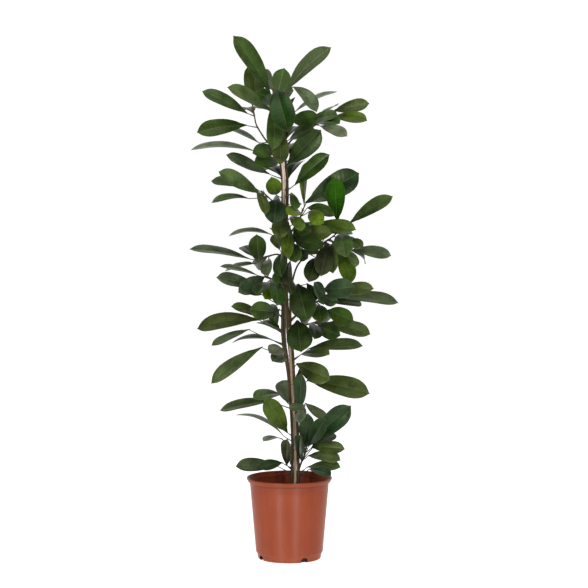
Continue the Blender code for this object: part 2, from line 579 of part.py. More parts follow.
def find_root(path, base, taken):
    """The point of a shoot's path where a leaf grows: near the leaf's base and a little below it,
    at a distance along the path that no other leaf has taken."""
    lengths = [0.0]
    for start, end in zip(path, path[1:]):
        lengths.append(lengths[-1] + (end - start).length)
    nearest = (math.inf, 0.0)
    for length, start, end in zip(lengths, path, path[1:]):
        span = end - start
        share = min(1.0, max(0.0, (base - start).dot(span) / span.length_squared))
        nearest = min(nearest, ((start + span * share - base).length, length + share * span.length))
    away, place = nearest
    place = min(place - 0.5 * away, lengths[-2] - ROOT_SPACING)
    while any(abs(place - other) < ROOT_SPACING for other in taken):
        place -= ROOT_SPACING
    place = max(place, ROOT_SPACING)
    taken.append(place)
    below = max(i for i, length in enumerate(lengths) if length < place)
    share = (place - lengths[below]) / (lengths[below + 1] - lengths[below])
    return path[below].lerp(path[below + 1], share)


def leaf_frame(leaf, root, turn):
    """A leaf's base, tip, width and upward normal, with its tip turned in depth by a little."""
    base_x, base_height, tip_x, tip_height, reach, width_seen, _, face = leaf
    reach += turn
    flat_root = EYE + (root - EYE) * (EYE.y / (EYE.y - root.y))
    to_base = math.hypot(base_x - flat_root.x, base_height - flat_root.z)
    to_tip = math.hypot(tip_x - flat_root.x, tip_height - flat_root.z)
    share = max(PETIOLE_SHARES[0], min(PETIOLE_SHARES[1], to_base / to_tip))
    base = seen(base_x, base_height, root.y + reach * share)
    tip = seen(tip_x, tip_height, root.y + reach)
    length = (tip - base).length
    width = min(BLADE_WIDTHS[1], max(BLADE_WIDTHS[0], BLADE_WIDTH_SHARE * length, width_seen))
    along = (tip - base).normalized()
    to_eye = (EYE - (base + tip) / 2).normalized()
    facing = (to_eye - along * to_eye.dot(along)).normalized()
    upward = along.cross(facing)
    if upward.z < 0:
        upward.negate()
    shown = min(1.0, width_seen / width)
    normal = facing * (face * shown) + upward * math.sqrt(1 - shown * shown)
    return base, tip, width, normal.normalized()


def petiole_ring(centre, across, normal, extra):
    """Four points round the petiole: left, above, right and below."""
    side, up = across * (PETIOLE_HALF + extra), normal * (PETIOLE_HALF + extra)
    return [centre - side, centre + up, centre + side, centre - up]


def blade_ring(centre, across, normal, half, extra):
    """Six points round the blade: left, rib and right above, then right, rib and left below."""
    left = centre - across * (half + extra) + normal * (BLADE_FOLD * half)
    right = centre + across * (half + extra) + normal * (BLADE_FOLD * half)
    rib = normal * (RIB_THICK / 2 + extra)
    edge = normal * (EDGE_THICK / 2 + extra)
    return [left + edge, centre + rib, right + edge, right - edge, centre - rib, left - edge]


def leaf_points(leaf, root, turn, extra=0.0):
    """A leaf's points from its root to its tip. Extra is added all round, to test for room."""
    base, tip, width, normal = leaf_frame(leaf, root, turn)
    across = (tip - base).cross(normal).normalized()
    middle = (base + tip) / 2 + normal * (2 * leaf[6] * (tip - base).length)
    stalk = (base - root).normalized()
    above = (normal - stalk * normal.dot(stalk)).normalized()
    points = petiole_ring(root, stalk.cross(above), above, extra)
    points += petiole_ring(base, across, across.cross(middle - base).normalized(), extra)
    for share, half in BLADE_RINGS:
        centre = base * (1 - share) ** 2 + middle * (2 * share * (1 - share)) + tip * share ** 2
        tangent = (middle - base) * (1 - share) + (tip - middle) * share
        upward = across.cross(tangent).normalized()
        points += blade_ring(centre, across, upward, half * width / 2, extra)
    points.append(tip + (tip - middle).normalized() * extra)
    return points


def stalk_faces():
    """The petiole's triangles: the end in the wood, then four sides."""
    faces = [(0, 2, 1), (0, 3, 2)]
    for k in range(4):
        j = (k + 1) % 4
        faces += [(k, j, j + 4), (k, j + 4, k + 4)]
    return faces


def blade_faces():
    """The blade's triangles, split alike on its two faces: from the petiole, along, and the tip."""
    left, above, right, below = 4, 5, 6, 7
    faces = [(left, above, 9), (left, 9, 8), (right, 10, 9), (right, 9, above), (right, 11, 10),
             (right, 12, 11), (right, below, 12), (left, 12, below), (left, 13, 12), (left, 8, 13)]
    for row in range(8, 8 + 6 * (len(BLADE_RINGS) - 1), 6):
        for k in range(6):
            near, far = row + k, row + (k + 1) % 6
            if k in (1, 4):
                faces += [(near, far, near + 6), (far, far + 6, near + 6)]
            else:
                faces += [(near, far, far + 6), (near, far + 6, near + 6)]
    last = 8 + 6 * (len(BLADE_RINGS) - 1)
    tip = last + 6
    faces += [(last + k, last + (k + 1) % 6, tip) for k in range(6)]
    return faces


def search_tree(points, faces):
    """A search tree of a solid's faces, with the lowest and highest corner of the box round it."""
    used = [points[i] for i in {i for face in faces for i in face}]
    low = [min(point[axis] for point in used) for axis in range(3)]
    high = [max(point[axis] for point in used) for axis in range(3)]
    return BVHTree.FromPolygons(points, faces), low, high


def touches(one, other):
    """Whether two search trees cross."""
    if any(one[1][axis] > other[2][axis] or one[2][axis] < other[1][axis] for axis in range(3)):
        return False
    return bool(one[0].overlap(other[0]))


def place_leaves(stems, fixed):
    """Places every leaf of every stem, each turned until it is clear of all that is there."""
    placed = []
    leaves = {name: [] for name in stems}
    for name, stem in stems.items():
        for shoot in stem.values():
            path, _ = shoot_path(shoot)
            taken = []
            for leaf in shoot["leaves"]:
                root = find_root(path, seen(leaf[0], leaf[1], path[-1].y), taken)
                turn = next((turn for turn in TURNS
                             if is_clear(name, leaf_points(leaf, root, turn, CLEARANCE),
                                         placed, fixed)), None)
                if turn is None:
                    raise ValueError(f"no clear place for a leaf of {name}: {leaf}")
                points = leaf_points(leaf, root, turn)
                placed.append((name, search_tree(points, blade_faces()),
                               search_tree(points, stalk_faces())))
                leaves[name].append(points)
    return leaves


def is_clear(name, points, placed, fixed):
    """Whether a leaf of the named stem stays clear of the leaves placed and of all the wood. Only
    its own stem's wood and petioles may meet its petiole."""
    blade, stalk = search_tree(points, blade_faces()), search_tree(points, stalk_faces())
    for owner, solid in fixed:
        if touches(blade, solid) or (owner != name and touches(stalk, solid)):
            return False
    for owner, other_blade, other_stalk in placed:
        if touches(blade, other_blade) or touches(blade, other_stalk):
            return False
        if touches(stalk, other_blade) or (owner != name and touches(stalk, other_stalk)):
            return False
    return True


def fixed_solids(things, stems):
    """What leaves stay clear of, with the stem that owns it: other pieces, and all the wood."""
    fixed = []
    for thing in things:
        corners = [vertex.co / CM for vertex in thing.data.vertices]
        faces = [tuple(polygon.vertices) for polygon in thing.data.polygons]
        fixed.append((thing.name, search_tree(corners, faces)))
    for name, stem in stems.items():
        for shoot in stem.values():
            path, radii = shoot_path(shoot)
            corners = tube_points(path, [radius + CLEARANCE for radius in radii], WOOD_SIDES)
            fixed.append((name, search_tree(corners, tube_faces(len(path), WOOD_SIDES))))
    return fixed


def make_stem(name, stem, leaves):
    """One leafy stem: its wood and all its leaves, joined into one solid."""
    parts = []
    for shoot_name, shoot in stem.items():
        path, radii = shoot_path(shoot)
        parts.append(make_object(shoot_name, tube_points(path, radii, WOOD_SIDES),
                                 tube_faces(len(path), WOOD_SIDES)))
    for points in leaves:
        parts.append(make_object("leaf", points, stalk_faces() + blade_faces()))
    trunk = parts[0]
    apply_boolean(trunk, parts[1:], "UNION")
    trunk.name = name
    smooth(trunk)
    give_material(trunk, LEAF_GREEN)


def main():
    """Builds the whole plant in its pot."""
    clear_scene()
    stems = {"fig_stem_left": LEFT_STEM, "fig_stem_right": RIGHT_STEM}
    pieces = [make_pot(), make_soil(), make_cane()]
    leaves = place_leaves(stems, fixed_solids(pieces, stems))
    for name, stem in stems.items():
        make_stem(name, stem, leaves[name])


main()
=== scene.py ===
"""The potted African fig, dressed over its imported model: fine leaves with their own shades,
barked wood, a bamboo cane, peat and a satin plastic nursery pot."""
import math
import random
from collections import namedtuple

import bmesh
import bpy
from mathutils import Matrix, Vector, noise
from mathutils.kdtree import KDTree

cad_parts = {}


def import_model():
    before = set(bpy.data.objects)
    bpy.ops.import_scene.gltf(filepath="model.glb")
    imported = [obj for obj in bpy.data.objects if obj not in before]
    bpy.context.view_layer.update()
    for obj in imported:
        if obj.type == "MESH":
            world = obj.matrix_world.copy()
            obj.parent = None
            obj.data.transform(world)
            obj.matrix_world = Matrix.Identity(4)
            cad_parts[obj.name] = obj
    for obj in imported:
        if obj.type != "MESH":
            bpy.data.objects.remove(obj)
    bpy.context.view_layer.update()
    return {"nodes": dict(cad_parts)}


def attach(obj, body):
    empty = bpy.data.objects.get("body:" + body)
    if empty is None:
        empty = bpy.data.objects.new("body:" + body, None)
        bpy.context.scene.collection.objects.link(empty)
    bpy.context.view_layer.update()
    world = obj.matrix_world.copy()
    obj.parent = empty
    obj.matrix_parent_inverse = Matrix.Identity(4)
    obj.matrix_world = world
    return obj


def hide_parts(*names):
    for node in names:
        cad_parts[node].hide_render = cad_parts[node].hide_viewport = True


# Sizes are in cm up to the mesh, which is in metres.
CM = 0.01

# The pot.
RIM_RADIUS = 12.0
POT_HEIGHT = 23.0
FOOT_RADIUS = 8.6
FOOT_HEIGHT = 1.8
WALL_FOOT_RADIUS = 9.4
WALL_TOP_RADIUS = 11.1
LIP_HEIGHT = 1.5
LIP_STEP = 0.35
WALL = 0.18
FLOOR = 0.3
FOOT_EDGE = 0.2
FOOT_STEP = 0.3
LIP_ROUND = 0.3
CORNER_ROUND = 0.09
CORNER_STEPS = 3
POT_SIDES = 160
MOULD_LINE_HEIGHT = 19.7
MOULD_LINE_DEPTH = 0.02
MOULD_LINE_WIDTH = 0.1

# Four low drain notches through the foot, a quarter turn apart, each an arch with full shoulders.
NOTCH_COUNT = 4
NOTCH_WIDTH = 1.9
NOTCH_HEIGHT = 1.35
NOTCH_BELOW = 0.5
NOTCH_SHOULDER = 0.7
NOTCH_STEPS = 12
NOTCH_INNER_RADIUS = 7.7
NOTCH_FIRST_ANGLE = math.radians(-62)

# The peat: its level, the gap to the pot, how its surface is uneven (how often each kind of noise
# repeats, where it starts and how far it rises), and the crumbs that lie on it.
SOIL_TOP = 19.0
SOIL_SIDES = 120
SOIL_RING_STEP = 0.22
SOIL_GAP = 0.05
SOIL_UNEVEN = ((0.22, 3.1, 0.16), (1.3, 8.4, 0.07), (4.5, 1.2, 0.049))
CRUMB_COUNT = 1500
CRUMB_SIZES = (0.06, 0.3)
CRUMB_LENGTHS = (1, 1.9)
CRUMB_HEIGHTS = (0.5, 0.9)
CRUMB_BUMPS = (0.75, 1.2)
CRUMB_TONES = (0.6, 1.3)
CRUMB_TO_WALL = 0.15
PALE_CRUMB_SHARE = 0.2
FIBRE_SHARE = 0.03
FIBRE_WIDTH = 0.13
FIBRE_STRETCH = (3.5, 0.3)
HOLE_BOTTOM = 9.0

# The cane: its radius over the peat is this share of its full radius, and less further up. It
# has a raised ring at each of its joints and a pinch above it.
CANE_RADIUS = 0.42
CANE_PATH = ((1.6, HOLE_BOTTOM, 0.45), (1.6, 20, 0.45), (1.68, 29, 0.45), (1.55, 36, 0.45),
             (1.15, 42, 0.45), (0.88, 46, 0.45), (0.55, 52, 0.45), (0.15, 58, 0.45), (-0.5, 64, 0.45),
             (-0.95, 70, 0.4), (-1.25, 77, 0.3), (-1.35, 92, 0.1), (-1.5, 99, -0.1),
             (-1.5, 106, -0.4), (-2, 112, -0.6), (-2.8, 118.5, -0.8))
CANE_SIDES = 28
CANE_STEP = 0.35
CANE_SHARE = 0.97
CANE_TAPER = 0.0006
CANE_END_ROUND = 0.06
CANE_JOINTS = (30.6, 49.0, 68.0, 86.5, 103.5)
CANE_JOINT_RISE = 0.05
CANE_JOINT_WIDTH = 0.22
CANE_PINCH = 0.02
CANE_PINCH_ABOVE = 0.3
CANE_PINCH_WIDTH = 0.14

# The stems' wood, with a swelling under every leaf and a bud at the end of every shoot. Leaves are
# placed along a coarser path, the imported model's. The bark's noise is of two kinds: how often
# each repeats and how far it rises. Thin wood is young and green.
COARSE_STEP = 6.0
WOOD_SIDES = 14
WOOD_STEP = 0.5
NODE_RISE = 0.05
NODE_WIDTH = 0.28
BARK_ROUGHNESS = ((1.7, 0.018), (5, 0.008))
OLD_RADIUS = 0.42
YOUNG_RADIUS = 0.22

# A bud: its length, the radius of its tip, and its radius (in the wood's) at shares of its length.
# The sheaths round it have half-widths and lean outward at shares of theirs.
BUD_LENGTH = 1.3
BUD_TIP = 0.05
BUD_SHAPE = ((0.12, 1.25), (0.3, 1.4), (0.55, 1.15), (0.8, 0.6))
SHEATH_COUNT = 3
SHEATH_LENGTH = 1.5
SHEATH_SHORTER = 0.2
SHEATH_BELOW = 0.3
SHEATH_TURN = 0.7
SHEATH_CURL = 0.06
SHEATH_THICK = 0.05
SHEATH_SHAPE = ((0, 0.26, 0.0), (0.3, 0.24, 0.08), (0.65, 0.15, 0.2), (1, 0.02, 0.42))

# Every place on the plant is given as it looks from the front, from an eye this far from the
# axis and this high: (x, height) on the plane through the axis, and a depth behind that plane.
EYE = Vector((1.3, -700.0, 135.0))

# A leaf's blade and petiole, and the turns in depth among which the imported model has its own.
BLADE_WIDTH_SHARE = 0.36
BLADE_WIDTHS = (3.4, 7.2)
BLADE_FOLD = 0.16
FOLD_CURVE = 1.4
EDGE_THICK = 0.07
PETIOLE_HALF = 0.15
PETIOLE_TAPER = (1.25, 0.7)
PETIOLE_ROOT = 1.15
PETIOLE_SHARES = (0.18, 0.6)
PETIOLE_SIDES = 8
PETIOLE_RINGS = 7
PETIOLE_SAG = 0.06
PETIOLE_INTO_BLADE = 0.5
ROOT_SPACING = 0.3
TURNS = (0, 1.2, -1.2, 2.4, -2.4, 3.6, -3.6, 5, -5, 6.5, -6.5, 8, -8)

# A blade's half-widths along it, down to the drip tip, and places across it.
OUTLINE = ((0.0, 0.05), (0.04, 0.11), (0.09, 0.19), (0.14, 0.28), (0.2, 0.46), (0.28, 0.62),
           (0.36, 0.76), (0.45, 0.88), (0.54, 0.955), (0.63, 0.99), (0.71, 1.0), (0.79, 0.94),
           (0.86, 0.79), (0.91, 0.6), (0.94, 0.41), (0.962, 0.25), (0.978, 0.12), (1.0, 0.02))
ACROSS = (-1.0, -0.86, -0.62, -0.36, -0.12, -0.035, 0.0, 0.035, 0.12, 0.36, 0.62, 0.86, 1.0)
RIB_WIDTH = 0.12
RIB_GROOVE = 0.035
RIB_RIDGE = 0.05
MARGIN_WAVE = 0.075
MARGIN_WAVES = (7, 12)
HALF_BULGES = (0.03, 0.1)
SIDE_VEINS = 13

# The numbers of a leaf's materials: its two faces, its petiole, and the upper face of a young leaf.
UPPER, UNDER, PETIOLE, YOUNG = range(4)

# What the leaves' shades look like in the photograph, as screen colours from 0 to 255. Some are
# painted light and shade: the greyish and the silvery shades are painted sheen on lit leaves, and
# the darkest is a painted shadow.
SHADES = {
    "dark": (36, 54, 20),
    "deep": (30, 54, 28),
    "leafy": (42, 66, 20),
    "bright": (29, 70, 0),
    "lime": (84, 106, 22),
    "light": (66, 86, 22),
    "olive": (66, 78, 36),
    "grey_sheen": (74, 86, 60),
    "dusk": (50, 54, 34),
    "shadowed": (24, 36, 12),
    "forest": (24, 54, 12),
    "pine": (46, 64, 40),
    "moss": (54, 74, 32),
    "sage": (78, 95, 54),
    "lit_sheen": (106, 116, 92),
}
SHADE_DRAW = 0.08
WARMTH_DRAW = 0.048
SHEEN = (0.88, 1.0, 0.6, 1.0)

# The two stems and their branches. A shoot is its wood's path (x, height, depth), its first and
# last radius, perhaps a stretch that is thicker (its middle, its half height and by how much), and
# its leaves. A leaf is the place of its blade's base (x, height) and of its tip (x, height), how
# far the tip reaches in depth, the width that shows (below 0 where it is the underside that
# shows), how much it arches as a share of its length, and its shade.
Leaf = namedtuple("Leaf", "base_x base_height tip_x tip_height reach width arch shade")
LEFT_TRUNK = {"radii": (0.42, 0.3), "thick": (59, 7, 0.27), "path": (
    (0.6, HOLE_BOTTOM, -0.4), (0.6, 20, -0.4), (0.9, 29, -0.4), (0.75, 36, -0.4), (0.45, 42, -0.4),
    (0.15, 46, -0.4), (-0.25, 52, -0.4), (-0.75, 56, -0.4), (-1.4, 60, -0.4), (-1.8, 64, -0.4),
    (-1.9, 67, -0.4), (-1.85, 72, -0.4), (-1.8, 79, -0.4), (-1.85, 85, -0.4), (-2.05, 90, -0.3),
    (-2.25, 96, 0.3), (-1.9, 102, 1), (-2.1, 108, 1.2), (-2.9, 114, 1), (-3.6, 121, 0.6),
    (-4.2, 128, 0.5), (-4.4, 131, 0.4),
), "leaves": (
    (-5.2, 130, -15.5, 146.2, -2, 5, 0.04, "moss"),
    (-4.8, 125.1, -17.2, 132, -7, 3.6, 0.05, "sage"),
    (-3.4, 129.4, -1.4, 137.3, 8, -5.2, 0.05, "bright"),
    (-4.9, 127.6, -9.2, 130.8, -12, 3.8, 0.08, "leafy"),
    (-3.6, 131.8, -0.3, 119.6, -15, 6.6, 0.12, "forest"),
    (-4.9, 127.2, -4.6, 114.6, -8, 4.6, 0.1, "moss"),
    (-3.8, 114.6, -10.3, 113.7, -12, 4, 0.08, "moss"),
    (-2.6, 120.4, -2.4, 110.6, -11, 4.8, 0.08, "olive"),
    (-2.9, 111, -9.8, 110.9, -13, 3.8, 0.08, "leafy"),
    (-8.8, 114, -27.4, 114.6, -1, 1.8, 0.08, "lit_sheen"),
    (-5.2, 107.8, -17.6, 113.3, -4, 3.2, 0, "grey_sheen"),
    (-3.7, 102.2, -5, 107.2, -12, 4.4, 0.1, "light"),
    (-3.4, 100.9, -4.5, 94, -14, 6.2, 0.1, "deep"),
    (-2, 96.2, -2.9, 89.8, -13, 5, 0.1, "olive"),
    (-4.4, 90.8, -17, 90.6, 2, 1.4, 0.12, "lit_sheen"),
    (-1.9, 86.2, -2.2, 79.2, -12, 3.6, 0.1, "dark"),
    (-7.5, 74.2, -13.8, 76.4, -12, 2.8, 0.05, "pine"),
    (-7.5, 67.3, -16.3, 71, -9, 2.6, 0.11, "sage"),
    (-3.8, 69.4, -11.2, 70.2, -12, 5.2, 0.06, "moss"),
    (-8, 67.2, -25.8, 64.7, 1, 4.5, 0.08, "olive"),
    (-10.9, 64.7, -21.8, 60, -5, 2.2, 0.02, "grey_sheen"),
    (-4.2, 61.4, -16.2, 60.6, 5, 1.3, 0.11, "grey_sheen"),
    (-7.4, 59.7, -21.9, 49.3, -3, 3.9, 0.03, "sage"),
    (-1.4, 58.8, -5.7, 57.9, -14, 3.4, 0.06, "lit_sheen"),
    (-1, 56.6, -4.9, 55.6, -13, 3.2, 0.06, "grey_sheen"),
    (-0.3, 43.6, -2, 50.3, 9, 4.8, 0.04, "lit_sheen"),
    (-4.4, 44.4, -19.5, 41.7, 2, 2.8, 0.04, "sage"),
    (-2.2, 46.2, -10.2, 45, -13, 3, 0.08, "sage"),
    (-0.5, 35.4, -6.7, 45.3, -7, 5.4, 0.03, "light"),
    (-1.4, 34.3, -15.3, 40.4, 4, 1.1, 0.12, "lit_sheen"),
    (-1.5, 33.2, -7.3, 33, -12, 0.9, 0.1, "lit_sheen"),
    (-0.7, 26, -0.5, 33.7, -8, 3, 0.03, "dusk"),
    (-3, 26.1, -15.1, 25.9, -5, 3.8, 0.05, "grey_sheen"),
    (-4.6, 131, -8, 135, 14, -3, 0.08, "dark"),
    (-3.8, 127.4, -1.2, 132, 16, -2.8, 0.08, "dark"),
    (-3.8, 125, -7.5, 126, 17, 2.5, 0.1, "dark"),
    (-3.2, 117, -4.6, 121, 17, -2.5, 0.1, "dark"),
    (-2.9, 112, -6.2, 113, 17, 2.5, 0.12, "dark"),
    (-2.4, 107.4, -6.6, 109, 16, 2.2, 0.1, "shadowed"),
    (-1.7, 99.4, -5, 98.5, 17, 3, 0.12, "dark"),
    (-1.5, 93.4, -4.5, 96, 16, 3, 0.1, "dark"),
    (-2.4, 89, -4.4, 92, 15, 3, 0.1, "dark"),
    (-2.5, 73.6, -4.5, 76.4, 17, 3, 0.1, "dark"),
    (-2.6, 68.4, -7.5, 70, 14, 3, 0.1, "dark"),
    (-2.3, 63.6, -8.6, 66.4, 12, 2.4, 0.1, "dark"),
    (-2.7, 70.4, -4.6, 66.4, 8, 3.2, 0.1, "dark"),
    (-1.8, 27, -8.4, 25.4, -8, 3, 0.08, "pine"),
    (0.2, 26.6, -1, 30.4, 15, 2.4, 0.1, "dark"),
)}
LEFT_SIDE_BRANCH = {"radii": (0.28, 0.18), "path": (
    (-0.3, 51, -0.45), (-0.5, 54, -0.7), (-0.8, 58, -1), (-1.15, 62, -1.2), (-1.3, 68, -1.3),
    (-1.45, 74, -1.6), (-1.5, 80, -1.9), (-1.3, 85, -2.1),
), "leaves": (
    (-2.7, 86.8, -4.8, 91, -5, 3, 0.1, "grey_sheen"),
    (-1.9, 80.6, -4.4, 77.4, -8, 3.4, 0.1, "moss"),
    (-0.9, 79.6, 0.2, 74.2, -10, 2.6, 0.1, "dusk"),
)}
LEFT_TOP_TWIG = {"radii": (0.28, 0.17), "path": (
    (-2.8, 113, 1), (-4.4, 115.4, 0.6), (-6.2, 117, 0.1), (-7.4, 118.6, 0), (-9.1, 121.5, 0),
    (-9.7, 124.2, 0), (-10, 125.8, 0),
), "leaves": (
    (-10.2, 126.8, -9.1, 138.6, -3, 6.4, 0.03, "olive"),
    (-11.4, 124.6, -24.2, 130.9, 0, 3.6, 0.03, "moss"),
    (-11.7, 121.5, -25.7, 119.5, -5, 4.6, 0.07, "leafy"),
    (-8.2, 116.4, -19, 121.2, 7, 1.5, 0.04, "lit_sheen"),
    (-9.9, 124.6, -12.4, 125.6, 15, 2, 0.1, "dark"),
)}
LEFT_UPPER_TWIG = {"radii": (0.26, 0.16), "path": (
    (-2.2, 98, 0.65), (-3.6, 99.7, 0.4), (-5.3, 101, 0.1), (-7, 102.6, 0),
), "leaves": (
    (-8, 102.4, -19.7, 108.6, -6, 4.2, 0.03, "sage"),
    (-9.5, 104.3, -21.8, 106, 3, 3, 0.05, "sage"),
    (-10.9, 101, -21.7, 99.9, -1, 1.8, 0.12, "sage"),
    (-9.2, 103.4, -6.6, 96.6, -13, 2.8, 0.12, "olive"),
)}
LEFT_MIDDLE_TWIG = {"radii": (0.26, 0.17), "path": (
    (-1.9, 85.2, -0.4), (-3.6, 85.6, -0.1), (-5.4, 85.2, 0), (-7.7, 84.6, 0), (-8.6, 84, 0),
), "leaves": (
    (-10.5, 84.1, -27.9, 87, -1, 2.3, 0.04, "grey_sheen"),
    (-8.6, 83.4, -9.1, 91.2, -10, 4.9, 0.05, "dark"),
    (-9.2, 84.4, -13.2, 87.8, 13, 3, 0.05, "deep"),
    (-9.2, 83, -18, 80.9, 8, 1.4, 0.05, "grey_sheen"),
    (-6.2, 84.8, -9.4, 82.2, 7, 3.4, 0.08, "dark"),
    (-5.8, 84.2, -5.8, 79.6, -13, 3.2, 0.1, "grey_sheen"),
)}
LEFT_LOWER_TWIG = {"radii": (0.26, 0.17), "path": (
    (-1.8, 77, -0.4), (-3.8, 78.2, -0.2), (-5.9, 79.2, -0.2),
), "leaves": (
    (-8.6, 79.6, -19.4, 82.2, -1, 1.4, 0.04, "lit_sheen"),
    (-8.2, 76.2, -20.4, 79.1, -6, 3.6, 0.04, "grey_sheen"),
    (-6.8, 79.4, -14.3, 74.9, -12, 4.5, 0.06, "grey_sheen"),
    (-4.2, 77, -6.9, 73, -9, 3.8, 0.08, "lime"),
    (-5, 77.6, -9, 74.2, -15, 3.2, 0.08, "dark"),
    (-5, 78.6, -3.5, 71.2, -13, 4.2, 0.1, "leafy"),
)}
RIGHT_TRUNK = {"radii": (0.43, 0.33), "thick": (102, 5.5, 0.11), "path": (
    (2.6, HOLE_BOTTOM, -0.4), (2.6, 20, -0.4), (2.45, 30, -0.4), (2.35, 36, -0.4), (1.95, 42, -0.4),
    (1.65, 46, -0.4), (1.25, 52, -0.4), (0.95, 58, -0.6), (0.35, 64, -0.7), (-0.4, 70, -0.8),
    (-0.8, 77, -0.8), (-0.9, 86, -1), (-0.75, 93, -1.1), (-0.62, 100, -0.9), (-0.62, 106, -0.5),
    (-0.95, 110, 0), (-1.3, 115, 0.4), (-1.5, 121, 1), (-1.4, 127, 1.2), (-1.5, 130, 1.2),
), "leaves": (
    (-0.8, 130.8, 11.6, 143, 0, -4.4, 0.08, "pine"),
    (0.7, 132.1, 7.6, 125.1, -11, 3.4, 0.16, "grey_sheen"),
    (1.4, 125, 13.4, 130.8, 6, 1.4, 0.06, "lit_sheen"),
    (0.4, 122.7, 8.3, 123.9, -11, 4.5, 0.06, "leafy"),
    (0, 117.5, 6.9, 120.6, -12, 3.2, 0.06, "dark"),
    (-0.6, 110.6, 8.8, 120.2, -7, 6.2, 0.05, "dark"),
    (1.4, 104.8, 11.2, 113.4, -7, 4.5, 0.05, "leafy"),
    (0.5, 102.9, 1.4, 98, -9, 2.6, 0.08, "moss"),
    (0.4, 96.2, 3.4, 92, -14, 3.2, 0.1, "light"),
    (0.3, 93.6, 0, 84.4, -9, 3.4, 0.1, "light"),
    (0.8, 91, 12, 91.4, -9, 4.4, 0.05, "olive"),
    (1.2, 89.6, 9.6, 87.6, -12, 4.2, 0.07, "dark"),
    (0.9, 89, 1.8, 83.2, -13, 4.2, 0.1, "moss"),
    (4, 87.6, 7.6, 85.6, -13, 2.6, 0.08, "dusk"),
    (0.4, 84, 0.3, 76.6, -12, 2.6, 0.1, "dusk"),
    (2.2, 67.2, 3.3, 58.2, -12, 7.2, 0.08, "dark"),
    (5, 59, 20.6, 59.9, -3, 3.3, 0.05, "sage"),
    (3, 57.5, 11.3, 57.5, -12, 2.8, 0.05, "olive"),
    (1.9, 55, 11.4, 50.4, -10, 5.6, 0.05, "olive"),
    (4.9, 50.3, 22.5, 46.5, -4, 5.8, 0.05, "olive"),
    (3, 42, 3.6, 52, -9, 3.8, 0.03, "deep"),
    (4.6, 43.2, 0.4, 41.6, -14, 2.4, 0.08, "grey_sheen"),
    (4.3, 43.9, 10.2, 38.8, 9, -2.8, 0.03, "grey_sheen"),
    (4.8, 25.7, 14.4, 25.6, -8, 2.9, 0.05, "sage"),
    (5.4, 25.2, 11.7, 23.3, -10, 2.4, 0.05, "pine"),
    (-1.3, 128.8, 1.2, 131, 17, -3, 0.08, "dark"),
    (-1.2, 122.6, 3, 123.4, 17, 3, 0.1, "dark"),
    (-1, 117.4, 2.6, 121, 17, 3, 0.1, "shadowed"),
    (-1, 113.4, 1.6, 116, 17, 3, 0.1, "dark"),
    (-0.2, 106.8, 3.5, 111.4, 14, 3, 0.1, "dark"),
    (1, 100.6, 1.8, 98.6, 16, 3.2, 0.12, "dark"),
    (1.4, 92.6, 3.6, 94.6, 15, 3.6, 0.12, "dark"),
    (1.5, 89.6, 4, 87.8, 15, 3.4, 0.1, "dark"),
    (1.8, 74.6, 4.8, 72.6, 15, 3.4, 0.12, "dark"),
    (1.9, 69.2, 5.4, 66.8, 14, 3.6, 0.12, "dark"),
    (-0.4, 124.6, 0.6, 128.4, 14, 3.2, 0.1, "dark"),
    (0.4, 112.2, 2.6, 115.6, 15, 3.4, 0.1, "dark"),
    (1.2, 94.4, 6, 91.6, -9, 3.6, 0.1, "dark"),
    (1.1, 88.6, 3.4, 93.6, 8, 3.4, 0.1, "dark"),
    (1.3, 86.8, 5.2, 84.4, -10, 3.4, 0.1, "dark"),
    (4.4, 42.6, 2.8, 38.2, -12, 2.8, 0.08, "lit_sheen"),
    (2.4, 61.2, 4.6, 60.6, 16, 3.2, 0.1, "dark"),
    (1.8, 51.4, 7, 52.4, 14, 3, 0.1, "dark"),
)}
RIGHT_TOP_TWIG = {"radii": (0.28, 0.17), "path": (
    (-1.3, 115, 0.4), (0.8, 117.6, 0.4), (2.8, 119.4, 0.3), (6.5, 121.6, 0.2), (10.5, 123.8, 0),
), "leaves": (
    (12, 125.3, 22.2, 127.5, -4, 3.5, 0.04, "olive"),
    (12, 123.8, 21.6, 122.7, -9, 3.2, 0.06, "light"),
    (4.4, 121.9, 13.5, 124.2, -10, 2.8, 0.06, "sage"),
    (7.6, 121.9, 14, 121.9, -13, 2.4, 0.06, "leafy"),
    (9.2, 123.9, 13.2, 126.9, 12, 1, 0.05, "grey_sheen"),
    (8.4, 121.3, 16.1, 118.4, -8, 3, 0.06, "lit_sheen"),
    (6.2, 120.6, 9.2, 121.8, 15, 2.6, 0.12, "dark"),
)}
RIGHT_UPPER_TWIG = {"radii": (0.26, 0.17), "path": (
    (-0.75, 90, -1.05), (1, 92.6, -0.8), (2.6, 95, -0.4), (3.6, 97.6, 0),
), "leaves": (
    (4.2, 98.8, 4.5, 111.2, -5, 2, 0.02, "lime"),
    (4.4, 99.9, 19.4, 108.2, 1, 7.2, 0.1, "deep"),
    (3.8, 94.6, 6.4, 92.4, 12, 3.6, 0.1, "dark"),
    (3.2, 97.2, -0.8, 96.8, -13, 3, 0.08, "lime"),
    (5.2, 93.3, 18.6, 92.4, -8, 3.6, 0.06, "light"),
    (5.4, 97.6, 9.6, 94.2, -14, 4.2, 0.08, "lime"),
    (4.7, 98.4, 12.6, 96.2, -9, 3, 0.2, "leafy"),
)}
